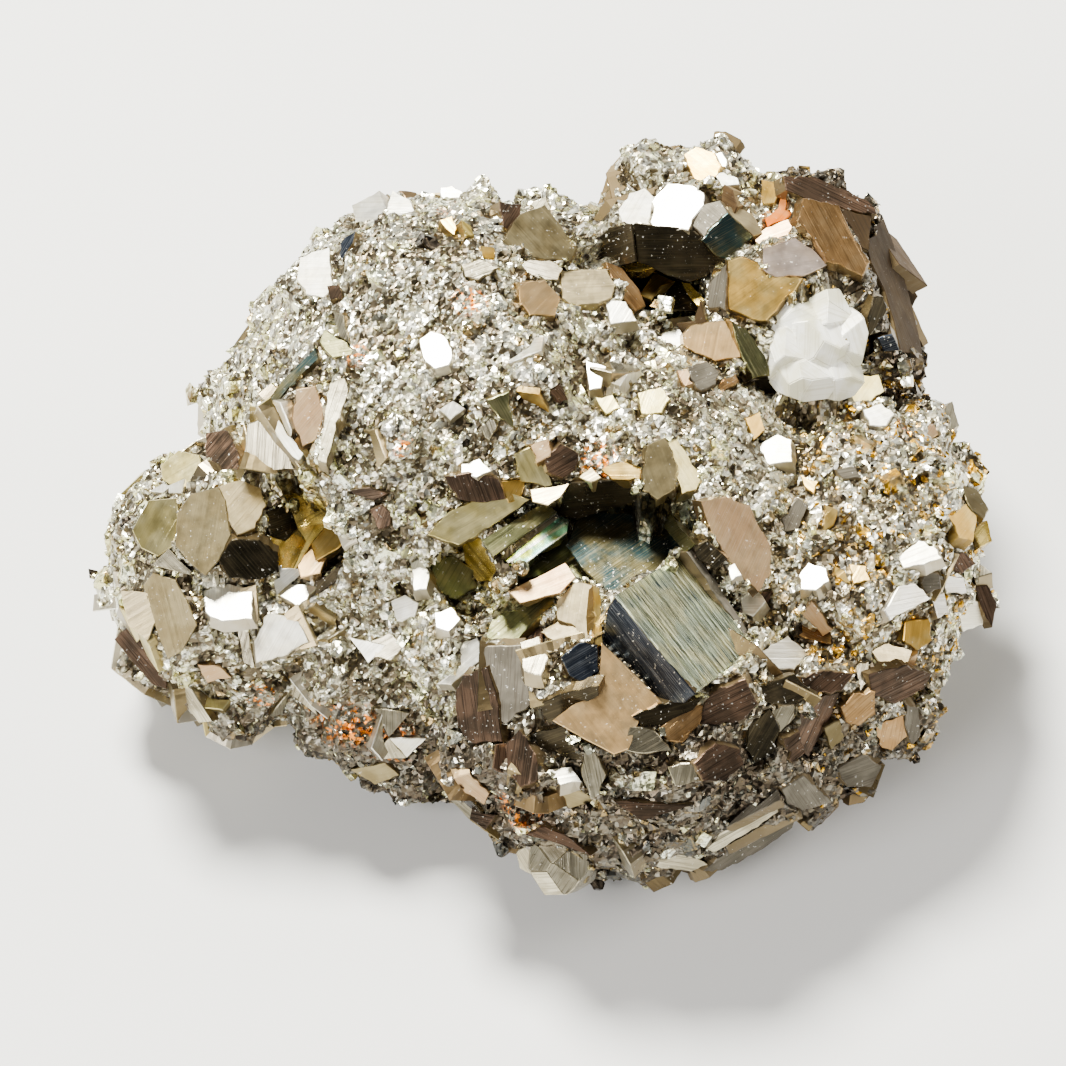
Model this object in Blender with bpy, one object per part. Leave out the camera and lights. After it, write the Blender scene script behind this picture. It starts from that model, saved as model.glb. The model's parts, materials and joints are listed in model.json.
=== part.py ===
"""A hand specimen of massive pyrite: one grown lump of granular ore, cubes and pyritohedra.

+X is the specimen's length, +Y its far side and +Z its height. It rests on the flat break at
z = 0, with the middle of its box above the origin. Sizes are in millimetres until the finished
mesh is scaled to metres. A crystal's place is measured in the front view, a look at the specimen
from the front and 52 degrees above, and the crystal stands where that look meets the mass.
"""
import math
import random
from collections import namedtuple

import bmesh
import bpy
from mathutils import Matrix, Vector, noise
from mathutils.bvhtree import BVHTree

MM = 0.001
NAME = "pyrite_cluster"
PYRITE = (0.62, 0.55, 0.36, 1.0)

# The whole lump
LENGTH = 48.0
DEPTH = 41.0
HEIGHT = 26.0

# The front view: its tilt above the horizon, and the point of the specimen in its middle
FRONT_TILT = math.radians(52)
FRONT_MIDDLE = Vector((0.0, -1.4, HEIGHT / 2))
RIGHT = Vector((1, 0, 0))
UP = Vector((0, math.sin(FRONT_TILT), math.cos(FRONT_TILT)))
TO_EYE = Vector((0, -math.cos(FRONT_TILT), math.sin(FRONT_TILT)))
FAR = 100.0

# The grain of the mass: how far its lumps swell, and how wide they are
SWELL = 1.1
SWELL_WIDTH = 5.0
GRAIN_SWELL = 0.45
GRAIN_WIDTH = 2.2

# Crystals strewn over the mass
STREWN_SEED = 5
STREWN_COUNT = 145
STREWN_SMALLEST = 1.7
STREWN_LARGEST = 3.9
STREWN_GAP = 1.5
STREWN_ROOM = 0.4
STREWN_STANDS_OUT = 0.12
STREWN_LEAN = 0.8
LOWEST_STREWN = 1.8

Lobe = namedtuple("Lobe", "middle radii detail")
Crystal = namedtuple("Crystal", "kind seen lift size towards spin")
Placed = namedtuple("Placed", "kind middle size towards spin")

# The lobes that the mass has grown as: middles, and half lengths along X, Y and Z
LOBES = {
    "heart": Lobe((3.0, -0.9, 9.5), (14.0, 12.5, 12.0), 3),
    "foot": Lobe((1.0, -1.0, 4.0), (15.5, 12.5, 6.4), 3),
    "left": Lobe((-15.4, -1.9, 8.0), (7.4, 7.3, 8.2), 3),
    "dome": Lobe((-5.0, 4.1, 12.6), (11.2, 12.8, 13.0), 3),
    "rear": Lobe((2.0, 8.6, 11.2), (8.5, 9.0, 10.2), 3),
    "crag": Lobe((11.6, 10.6, 12.3), (8.1, 8.6, 10.0), 3),
    "peak": Lobe((8.5, 14.6, 17.0), (4.6, 4.5, 5.4), 2),
    "right": Lobe((15.9, -1.2, 9.3), (7.2, 9.4, 8.8), 3),
    "front": Lobe((4.6, -10.8, 8.5), (10.5, 8.8, 8.3), 3),
    "chin": Lobe((13.0, -9.3, 7.4), (6.4, 5.6, 6.4), 2),
    "shoulder": Lobe((-11.0, 7.0, 8.8), (6.9, 7.7, 9.1), 3),
    "skirt": Lobe((-7.0, -6.3, 6.0), (6.9, 6.2, 6.0), 3),
}

# The crystals that give the specimen its face: kind, right and up in the front view, how far the
# main face's middle stands off the mass, edge lengths or size, main face's direction, and spin
NAMED = {
    "striated_cube": Crystal("cube", (7.5, -5.4), 1.4, (6.1, 6.1, 5.5), (0.56, 0.0, 0.83), 50),
    "brown_step": Crystal("cube", (3.6, -9.2), 1.2, (5.2, 5.8, 4.0), (0.1, -0.5, 0.86), 12),
    "tan_step": Crystal("pyritohedron", (1.8, -5.2), 0.6, 3.4, (-0.25, -0.5, 0.83), 95),
    "grey_step": Crystal("cube", (0.8, -8.0), 1.3, (3.6, 3.0, 3.4), (-0.1, -0.55, 0.83), 15),
    "olive_tooth": Crystal("pyritohedron", (6.1, 2.0), 0.8, 2.7, (0.3, -0.4, 0.87), 70),
    "brown_slab": Crystal("cube", (10.0, -1.3), 0.7, (4.9, 3.2, 3.0), (0.5, -0.35, 0.8), -62),
    "black_block": Crystal("cube", (8.7, -2.4), 0.7, (1.9, 1.5, 2.4), (0.2, -0.6, 0.77), 30),
    "hexagon": Crystal("pyritohedron", (6.0, 15.9), 1.4, 5.2, (0.0, 0.37, 0.93), 0),
    "corner_dark": Crystal("pyritohedron", (9.5, 14.3), 0.7, 3.2, (0.2, -0.5, 0.84), 20),
    "brass_pair": Crystal("pyritohedron", (10.9, 11.2), 0.6, 4.2, (-0.1, -0.55, 0.83), 60),
    "lilac": Crystal("pyritohedron", (13.2, 13.2), 1.0, 3.5, (0.25, -0.2, 0.95), 40),
    "flank_low": Crystal("cube", (18.1, 12.0), 0.8, (9.4, 5.5, 6.0), (0.89, 0.03, 0.44), -26),
    "flank_top": Crystal("cube", (15.2, 14.6), 0.9, (7.2, 3.8, 5.0), (0.4, -0.35, 0.85), -72),
    "white_lump": Crystal("pyritohedron", (14.3, 8.8), 0.9, 4.6, (0.1, -0.45, 0.88), 20),
    "tan_block": Crystal("cube", (8.9, 8.9), 1.4, (3.0, 1.9, 2.4), (0.0, -0.5, 0.86), -5),
    "green_facet": Crystal("pyritohedron", (11.1, 8.8), 0.5, 2.8, (0.35, -0.5, 0.8), 80),
    "olive_pair": Crystal("pyritohedron", (-17.2, -0.8), 0.9, 4.4, (-0.3, -0.4, 0.87), 105),
    "brown_chip": Crystal("pyritohedron", (-14.9, -2.6), 0.4, 2.5, (0.1, -0.6, 0.8), 20),
    "olive_top": Crystal("pyritohedron", (-18.7, 2.2), 0.4, 2.4, (-0.4, -0.1, 0.9), 30),
    "olive_mid": Crystal("pyritohedron", (-20.2, -0.5), 0.3, 2.7, (-0.55, -0.35, 0.76), 60),
    "silver_fan": Crystal("cube", (-14.2, 3.8), 0.7, (3.2, 2.4, 2.4), (-0.1, -0.55, 0.83), 80),
    "blade_left": Crystal("cube", (-13.2, 4.2), 1.4, (3.8, 0.8, 2.4), (0.1, -0.5, 0.86), -55),
    "blade_right": Crystal("cube", (-10.6, 4.7), 1.2, (4.6, 1.1, 2.6), (0.2, -0.55, 0.81), 72),
    "blade_dark": Crystal("cube", (-12.9, 7.2), 0.9, (3.8, 1.2, 2.2), (-0.2, -0.4, 0.89), 46),
    "tan_chip": Crystal("pyritohedron", (-12.0, 5.4), 0.7, 2.7, (0.0, -0.6, 0.8), 10),
    "flat_left": Crystal("pyritohedron", (-19.4, -5.1), 0.7, 3.8, (-0.35, -0.5, 0.79), 15),
    "brown_left": Crystal("pyritohedron", (-20.9, -7.6), 0.6, 4.0, (-0.5, -0.75, 0.43), 50),
    "white_steps": Crystal("cube", (-16.2, -4.7), 0.8, (2.9, 1.9, 2.4), (0.0, -0.6, 0.8), 3),
    "white_fan": Crystal("cube", (-13.5, -6.4), 0.8, (3.0, 2.4, 2.6), (-0.1, -0.6, 0.79), 25),
    "left_lump": Crystal("corner_cut", (-12.2, 12.4), 0.6, 3.0, (-0.3, 0.1, 0.95), 30),
    "rear_lump_a": Crystal("corner_cut", (-9.2, 15.6), 0.6, 3.4, (-0.3, 0.4, 0.87), 10),
    "rear_lump_b": Crystal("corner_cut", (-6.9, 15.8), 0.6, 3.2, (0.0, 0.5, 0.86), 50),
    "brass_stripes": Crystal("cube", (-0.2, 14.3), 0.6, (3.9, 2.7, 3.0), (-0.1, -0.1, 0.99), -18),
    "brass_small": Crystal("cube", (-0.2, 10.9), 0.6, (2.0, 1.7, 2.0), (0.0, -0.5, 0.86), 30),
    "stepped": Crystal("cube", (2.7, 11.3), 0.7, (3.4, 2.9, 3.0), (0.1, -0.4, 0.9), -15),
    "green_wedge": Crystal("pyritohedron", (-2.4, 5.7), 0.6, 2.2, (0.0, -0.5, 0.86), 15),
    "dome_brown": Crystal("pyritohedron", (1.1, 3.2), 0.7, 2.9, (0.1, -0.5, 0.86), 45),
    "right_lump": Crystal("corner_cut", (22.2, 0.3), 0.5, 4.0, (0.8, 0.1, 0.6), 20),
    "white_corner": Crystal("pyritohedron", (13.3, -7.5), 0.6, 2.4, (0.1, -0.4, 0.9), 5),
    "white_w": Crystal("pyritohedron", (12.1, 3.5), 0.5, 2.3, (0.3, -0.4, 0.87), 5),
    "lens_a": Crystal("pyritohedron", (9.5, -9.9), 0.7, 3.7, (0.0, -0.85, 0.52), 35),
    "lens_b": Crystal("pyritohedron", (0.8, -11.9), 0.6, 3.3, (-0.2, -0.85, 0.48), 0),
    "lens_c": Crystal("pyritohedron", (6.2, -11.8), 0.5, 3.0, (0.2, -0.8, 0.56), 65),
    "lens_d": Crystal("cube", (12.6, -10.6), 0.6, (3.6, 2.2, 2.6), (0.2, -0.8, 0.56), 60),
    "lens_e": Crystal("pyritohedron", (15.2, -9.8), 0.5, 3.4, (0.35, -0.85, 0.39), 20),
    "lens_f": Crystal("pyritohedron", (7.8, -13.9), 0.5, 3.4, (0.0, -0.95, 0.3), 45),
    "lens_g": Crystal("cube", (12.0, -13.5), 0.5, (3.4, 2.6, 2.6), (0.3, -0.9, 0.3), 25),
    "lens_h": Crystal("pyritohedron", (17.7, -9.6), 0.5, 3.2, (0.55, -0.75, 0.36), 70),
    "grey_stripes": Crystal("cube", (-2.1, -8.4), 0.7, (3.7, 2.2, 2.6), (-0.1, -0.7, 0.7), 88),
    "brown_stripes": Crystal("cube", (-3.4, -9.9), 0.6, (3.8, 2.0, 2.6), (-0.3, -0.8, 0.52), 70),
    "silver_fan_low": Crystal("cube", (2.8, -13.2), 0.6, (3.0, 1.3, 2.2), (-0.2, -0.8, 0.56), 75),
    "fold_low": Crystal("corner_cut", (0.6, -17.6), 0.9, 4.4, (-0.3, -0.9, -0.2), 20),
    "slab_low": Crystal("cube", (10.3, -16.6), 0.4, (6.2, 2.6, 3.0), (0.25, -0.95, -0.1), 28),
    "cluster_a": Crystal("pyritohedron", (17.7, -4.5), 0.7, 3.0, (0.5, -0.5, 0.7), 15),
    "cluster_b": Crystal("pyritohedron", (20.6, -2.4), 0.6, 3.2, (0.7, -0.4, 0.58), 55),
    "cluster_c": Crystal("pyritohedron", (19.0, -6.6), 0.6, 3.0, (0.5, -0.7, 0.5), 85),
    "crest_a": Crystal("corner_cut", (7.8, 17.6), 0.5, 3.2, (-0.3, 0.5, 0.8), 20),
    "crest_b": Crystal("corner_cut", (10.5, 17.4), 0.5, 3.0, (0.3, 0.5, 0.8), 45),
}

# The named crystals that the hollows cut into, where the others stand in them whole
CUT_BY_HOLLOWS = ("hexagon", "corner_dark")

# The hollows between the crystals, as the shapes that are cut away; the last edge is the depth
HOLLOWS = {
    "central_vug": Crystal("cube", (2.4, -0.4), 2.0, (7.6, 5.0, 8.2), (0.05, -0.35, 0.93), 12),
    "crag_vug": Crystal("pyritohedron", (6.4, 12.6), 3.0, (4.3, 4.1, 6.2), (0.0, -0.6, 0.8), -8),
    "amber_vug": Crystal("pyritohedron", (-12.0, -0.8), 1.2, 3.0, (-0.1, -0.5, 0.86), 20),
    "green_vug": Crystal("pyritohedron", (-3.7, -2.9), 1.0, 2.6, (0.0, -0.5, 0.86), 50),
    "small_vug": Crystal("cube", (12.1, 6.9), 0.8, (1.6, 1.3, 3.0), (0.0, -0.6, 0.8), 0),
}


def cube_points():
    """The corners of a cube whose faces lie 1 from its middle."""
    return [Vector((x, y, z)) for x in (-1, 1) for y in (-1, 1) for z in (-1, 1)]


def pyritohedron_points(flare=0.5):
    """The corners of the twelve-sided crystal that pyrite is known for."""
    long = 1 + flare
    short = 1 - flare * flare
    points = cube_points()
    for a in (-long, long):
        for b in (-short, short):
            points += [Vector((0, a, b)), Vector((b, 0, a)), Vector((a, b, 0))]
    return points


def corner_cut_points(cut=0.45):
    """A cube with its eight corners cut off."""
    points = []
    for corner in cube_points():
        for axis in range(3):
            point = corner.copy()
            point[axis] *= 1 - cut
            points.append(point)
    return points


# Each kind of crystal: its corners, its main face's direction, and that face's own long direction
KINDS = {
    "cube": (cube_points(), Vector((0, 0, 1)), Vector((1, 0, 0))),
    "pyritohedron": (pyritohedron_points(), Vector((1, 2, 0)).normalized(), Vector((0, 0, 1))),
    "corner_cut": (corner_cut_points(), Vector((0, 0, 1)), Vector((1, 0, 0))),
}


def facing(kind, towards, spin):
    """The turn that points a crystal's main face towards a direction and spins it in its plane."""
    _, normal, along = KINDS[kind]
    to_normal = Vector(towards).normalized()
    flat_x = (RIGHT - to_normal * to_normal.x).normalized()
    to_along = Matrix.Rotation(math.radians(spin), 3, to_normal) @ flat_x
    own = Matrix((along, normal.cross(along), normal)).transposed()
    wanted = Matrix((to_along, to_normal.cross(to_along), to_normal)).transposed()
    return wanted @ own.transposed()


def crystal_mesh(name, crystal):
    """One crystal, with its main face's middle at the place given."""
    points, normal, along = KINDS[crystal.kind]
    sizes = crystal.size if isinstance(crystal.size, tuple) else (crystal.size,) * 3
    turn = facing(crystal.kind, crystal.towards, crystal.spin)
    across = normal.cross(along)
    reach = max(point.dot(normal) for point in points)
    mesh = bmesh.new()
    for point in points:
        own = (
            along * point.dot(along) * sizes[0]
            + across * point.dot(across) * sizes[1]
            + normal * (point.dot(normal) - reach) * sizes[2]
        )
        mesh.verts.new(crystal.middle + turn @ own / 2)
    bmesh.ops.convex_hull(mesh, input=mesh.verts)
    bmesh.ops.dissolve_limit(mesh, angle_limit=0.001, verts=mesh.verts, edges=mesh.edges)
    bmesh.ops.recalc_face_normals(mesh, faces=mesh.faces)
    return finish_mesh(name, mesh)


def finish_mesh(name, mesh):
    """Turns a bmesh into a mesh datablock and frees it."""
    data = bpy.data.meshes.new(name)
    mesh.to_mesh(data)
    mesh.free()
    return data


def lobe_mesh(name, lobe):
    """A lumpy ball of ore: an icosphere swollen by coarse and fine noise."""
    mesh = bmesh.new()
    bmesh.ops.create_icosphere(mesh, subdivisions=lobe.detail, radius=1.0)
    middle = Vector(lobe.middle)
    for vert in mesh.verts:
        outward = vert.co.normalized()
        place = middle + Vector(a * b for a, b in zip(outward, lobe.radii))
        swell = SWELL * noise.noise(place / SWELL_WIDTH)
        swell += GRAIN_SWELL * noise.noise(place / GRAIN_WIDTH)
        vert.co = place + outward * swell
    return finish_mesh(name, mesh)


def ground_mesh():
    """The block below z = 0 that breaks the lump off flat."""
    mesh = bmesh.new()
    bmesh.ops.create_cube(mesh, size=2.0)
    for vert in mesh.verts:
        vert.co = Vector((vert.co.x * LENGTH, vert.co.y * DEPTH, (vert.co.z - 1) * HEIGHT))
    return finish_mesh("ground", mesh)


def new_collection(name):
    """A collection of the scene."""
    collection = bpy.data.collections.new(name)
    bpy.context.scene.collection.children.link(collection)
    return collection


def helper(name, data, collection):
    """An object that is joined to the mass or cut from it, and isn't shown itself."""
    obj = bpy.data.objects.new(name, data)
    obj.hide_render = True
    obj.display_type = "WIRE"
    collection.objects.link(obj)
    return obj


def surface_of(data):
    """A mesh's faces as a tree that a ray can be cast onto."""
    points = [vert.co for vert in data.vertices]
    return BVHTree.FromPolygons(points, [face.vertices for face in data.polygons])


def drop_on_mass(crystal, surfaces):
    """Where a crystal's main face has its middle: in front of where the front view meets the mass."""
    right, up = crystal.seen
    start = FRONT_MIDDLE + RIGHT * right + UP * up + TO_EYE * FAR
    hits = [surface.ray_cast(start, -TO_EYE)[3] for surface in surfaces]
    nearest = min(distance for distance in hits if distance is not None)
    middle = start + TO_EYE * (crystal.lift - nearest)
    return Placed(crystal.kind, middle, crystal.size, crystal.towards, crystal.spin)


def outside_other_lobes(point, own):
    """True where a point on one lobe isn't buried in another."""
    for name, lobe in LOBES.items():
        reach = sum(((p - m) / r) ** 2 for p, m, r in zip(point, lobe.middle, lobe.radii))
        if name != own and reach < 1.0:
            return False
    return True


def strewn_crystals(taken):
    """Crystals of many sizes over the whole mass, clear of the places that are taken."""
    chance = random.Random(STREWN_SEED)
    places = list(taken)
    crystals = []
    while len(crystals) < STREWN_COUNT:
        own = chance.choice(list(LOBES))
        outward = Vector(chance.gauss(0, 1) for _ in range(3)).normalized()
        lean = Vector(chance.uniform(-1, 1) for _ in range(3)) * STREWN_LEAN
        size = STREWN_SMALLEST + (STREWN_LARGEST - STREWN_SMALLEST) * chance.random() ** 2
        kind = chance.choice(("cube", "pyritohedron", "pyritohedron", "corner_cut"))
        spin = chance.uniform(0, 360)
        lobe = LOBES[own]
        point = Vector(m + r * o for m, r, o in zip(lobe.middle, lobe.radii, outward))
        if point.z < LOWEST_STREWN or not outside_other_lobes(point, own):
            continue
        if any((point - place).length < STREWN_GAP + STREWN_ROOM * size for place in places):
            continue
        places.append(point)
        towards = (outward + lean).normalized()
        middle = point + towards * STREWN_STANDS_OUT * size
        crystals.append(Placed(kind, middle, size, towards, spin))
    return crystals


def boolean(target, collection, operation):
    """Joins a collection's solids to the target, or cuts them from it."""
    modifier = target.modifiers.new(collection.name, "BOOLEAN")
    modifier.operation = operation
    modifier.operand_type = "COLLECTION"
    modifier.collection = collection


def keep_largest_body(mesh):
    """Fills the sealed pockets between crystals, and drops crumbs that came loose."""
    left = set(mesh.verts)
    bodies = []
    while left:
        body = {left.pop()}
        border = list(body)
        while border:
            edges = border.pop().link_edges
            fresh = {vert for edge in edges for vert in edge.verts} - body
            body |= fresh
            border += fresh
        left -= body
        bodies.append(body)
    largest = max(bodies, key=len)
    loose = [vert for vert in mesh.verts if vert not in largest]
    bmesh.ops.delete(mesh, geom=loose, context="VERTS")


def pyrite_material():
    """Pale brass metal, a little rough."""
    material = bpy.data.materials.new("pyrite")
    material.use_nodes = True
    shader = material.node_tree.nodes["Principled BSDF"]
    shader.inputs["Base Color"].default_value = PYRITE
    shader.inputs["Metallic"].default_value = 1.0
    shader.inputs["Roughness"].default_value = 0.35
    return material


def finished_solid(source):
    """The joined solid as one closed mesh in metres."""
    graph = bpy.context.evaluated_depsgraph_get()
    data = bpy.data.meshes.new_from_object(source.evaluated_get(graph))
    data.name = NAME
    mesh = bmesh.new()
    mesh.from_mesh(data)
    keep_largest_body(mesh)
    bmesh.ops.scale(mesh, vec=(MM, MM, MM), verts=mesh.verts)
    mesh.to_mesh(data)
    mesh.free()
    data.materials.clear()
    data.materials.append(pyrite_material())
    return bpy.data.objects.new(NAME, data)


def build():
    """Joins the mass and its crystals in one solid, with its hollows and its flat break."""
    lobes, strewn, hollows, named, ground = (
        new_collection(name) for name in ("lobes", "strewn", "hollows", "named", "break")
    )
    for name, lobe in LOBES.items():
        helper(name, lobe_mesh(name, lobe), lobes)
    surfaces = [surface_of(lobe.data) for lobe in lobes.objects]
    placed = {name: drop_on_mass(crystal, surfaces) for name, crystal in NAMED.items()}
    for name, crystal in placed.items():
        joined_to = strewn if name in CUT_BY_HOLLOWS else named
        helper(name, crystal_mesh(name, crystal), joined_to)
    for index, crystal in enumerate(strewn_crystals([c.middle for c in placed.values()])):
        name = f"strewn_{index:03d}"
        helper(name, crystal_mesh(name, crystal), strewn)
    for name, hollow in HOLLOWS.items():
        helper(name, crystal_mesh(name, drop_on_mass(hollow, surfaces)), hollows)
    helper("ground", ground_mesh(), ground)
    mass = bpy.data.objects["heart"]
    lobes.objects.unlink(mass)
    new_collection("mass").objects.link(mass)
    boolean(mass, lobes, "UNION")
    boolean(mass, strewn, "UNION")
    boolean(mass, hollows, "DIFFERENCE")
    boolean(mass, named, "UNION")
    boolean(mass, ground, "DIFFERENCE")
    new_collection(NAME).objects.link(finished_solid(mass))


for leftover in list(bpy.data.objects):
    bpy.data.objects.remove(leftover)
build()
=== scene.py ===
"""The looks of a hand specimen of massive pyrite.

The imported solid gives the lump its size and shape. Over it go the broken ore, thousands of
intergrown grains, and the crystals that give the specimen its face, with their striations.
Lengths are in millimetres until a piece is finished, and its mesh is then scaled to metres.
"""
import json
import math
import random
from collections import namedtuple

import bmesh
import bpy
import numpy as np
from mathutils import Matrix, Vector, noise
from mathutils.bvhtree import BVHTree

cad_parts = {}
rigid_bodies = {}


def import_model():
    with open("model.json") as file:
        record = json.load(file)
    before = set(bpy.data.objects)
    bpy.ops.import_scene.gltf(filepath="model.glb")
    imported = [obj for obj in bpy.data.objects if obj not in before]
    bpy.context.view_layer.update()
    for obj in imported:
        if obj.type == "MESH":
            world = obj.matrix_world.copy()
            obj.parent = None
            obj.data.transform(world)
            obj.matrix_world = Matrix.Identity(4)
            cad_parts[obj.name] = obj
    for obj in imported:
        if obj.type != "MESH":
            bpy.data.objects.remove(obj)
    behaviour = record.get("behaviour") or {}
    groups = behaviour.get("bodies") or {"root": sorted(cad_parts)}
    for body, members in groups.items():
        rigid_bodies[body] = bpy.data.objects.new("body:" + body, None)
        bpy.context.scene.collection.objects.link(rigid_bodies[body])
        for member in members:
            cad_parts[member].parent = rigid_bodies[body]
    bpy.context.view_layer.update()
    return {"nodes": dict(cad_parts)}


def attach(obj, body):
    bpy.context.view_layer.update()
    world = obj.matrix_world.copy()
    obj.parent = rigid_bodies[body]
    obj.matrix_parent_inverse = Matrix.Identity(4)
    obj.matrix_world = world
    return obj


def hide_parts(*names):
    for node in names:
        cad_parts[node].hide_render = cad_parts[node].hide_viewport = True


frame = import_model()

NODE = "pyrite_cluster"
MM = 0.001

# The front view, which the photograph is taken from
FRONT_TILT = math.radians(52)
FRONT_MIDDLE = Vector((0.0, -1.4, 13.0))
RIGHT = Vector((1, 0, 0))
UP = Vector((0, math.sin(FRONT_TILT), math.cos(FRONT_TILT)))
TO_EYE = Vector((0, -math.cos(FRONT_TILT), math.sin(FRONT_TILT)))
FAR = 100.0

# The photograph: its pixel in millimetres, its width, and its pixel at FRONT_MIDDLE
PIXEL = 0.0523
FRAME_PIXELS = 1066
MIDDLE_PIXEL = (541, 514)
CAMERA_DISTANCE = 500.0
SENSOR_WIDTH = 36.0

# The broken ore under the grains
ORE_MESH_STEP = 0.3
ORE_SUNK = 0.16
BREAK_CLEAR = 0.15

# How a crystal face stands in the ore: how far it stands out, how deep its block goes, and how far
# the block widens downwards. Where a face's place is fixed, its block narrows instead
FACE_PROUD = 0.05
FACE_DEPTH = 0.9
FACE_FLARE = 0.2
FIXED_FLARE = -0.44

# How far over a face the ore is cleared away from it, and the same for a face deep in a hollow
REACH = 1.1
DEEP_REACH = 3.2

# How a face is seated: how much of its given lean it keeps, how much where it faces the key light,
# the steepest lean that the surface gives it, the share of that surface that stays under it, and
# where that surface is felt, as shares of the way from the face's middle to its corners
GIVEN_SHARE = 0.45
LEVEL_SHARE = 0.85
STEEPEST_FIT = 1.2
SEATING = 0.42
FELT_AT = (0.0, 0.45, 0.9)

# Wear: how far apart the nicks along an edge are, how deep they go, how often and how much deeper
# one goes, their depth's share on a face whose place is fixed and on one that only the solid gives,
# and how far the edge is rounded off
SIDE_STEP = 0.32
CHIP = 0.03
DEEP_NICKS = 0.1
DEEP_NICK = 2.2
FIXED_CHIP = 0.3
SOLID_CHIP = 0.4
EDGE_WEAR = 0.05

# Striations cut into a face: how deep, how many line pitches wide, and the strips' uneven widths
COMB_DEPTH = 0.02
STRIP_PITCHES = 3
STRIP_WIDTHS = (0.4, 0.6, 0.8, 1.0, 1.0, 1.4, 2.0)

# The solid's own faces: the smallest that is made a crystal, the largest where the front shows it,
# how near an outlined face covers one, and the size and place of the patches in which they are kept
SMALLEST_SOLID_FACE = 0.9
LARGEST_FRONT_FACE = 1.7
COVER_REACH = 1.6
PATCH_SIZE = 3.2
PATCH_PLACE = Vector((5.0, 1.0, 3.0))

# The nodules' facets: how far they stray from an even spread, how their blocks narrow and how deep
# they go, and how far round the back they are made
NODULE_UNEVEN = 0.2
NODULE_FLARE = -0.3
NODULE_DEPTH = 0.5
NODULE_BACK = -0.4

# The open hollows: right and up in the front view, how far out from the surface, and how far they
# reach
HOLLOWS = (
    ((2.6, 0.1), 2.4, 2.9), ((0.6, -1.5), 2.2, 2.2), ((4.6, -0.6), 2.2, 2.2),
    ((6.4, 12.4), 2.2, 2.6), ((4.2, 13.4), 1.6, 1.6), ((-12.0, -0.6), 1.2, 1.7),
    ((-3.2, -2.6), 1.0, 1.5), ((6.0, -0.3), 0.9, 1.8),
)

Zone = namedtuple("Zone", "middle radii coarse medium fine seed kept")
Finish = namedtuple("Finish", "main second line strength specks roughness pitch metal", defaults=(1.0,))

# The zones of ore: middles and half lengths, the spacing and the size of each grade of grain, a
# seed, and the share of the solid's own faces that are kept as crystals
ZONES = {
    "left_ore": Zone((-16, -2, 8), (8, 8, 9), (1.5, 1.9), (0.66, 1.15), (0.40, 0.58), 11, 0.5),
    "skirt_ore": Zone((-7, -8, 6), (8, 7, 7), (1.2, 1.2), (0.54, 0.95), (0.33, 0.45), 12, 0.26),
    "dome_ore": Zone((-5, 4, 14), (9, 10, 13), (1.2, 1.5), (0.52, 0.90), (0.32, 0.42), 13, 0.24),
    "back_ore": Zone((-4, 15, 8), (14, 8, 10), (1.7, 2.0), (0.80, 1.3), (0.52, 0.68), 14, 0.45),
    "crag_ore": Zone((11, 12, 14), (10, 9, 12), (1.5, 1.5), (0.62, 1.0), (0.40, 0.52), 15, 0.35),
    "middle_ore": Zone((5, -3, 16), (9, 8, 10), (1.2, 1.5), (0.52, 0.90), (0.32, 0.42), 16, 0.22),
    "right_ore": Zone((18, -1, 10), (8, 10, 10), (1.1, 1.5), (0.58, 1.0), (0.33, 0.45), 17, 0.14),
    "front_ore": Zone((7, -13, 8), (11, 8, 9), (1.1, 1.9), (0.66, 1.2), (0.42, 0.55), 18, 0.5),
    "under_ore": Zone((1, -1, -4), (16, 14, 6), (2.0, 2.0), (0.95, 1.4), (0.70, 0.8), 19, 0.5),
}

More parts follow.
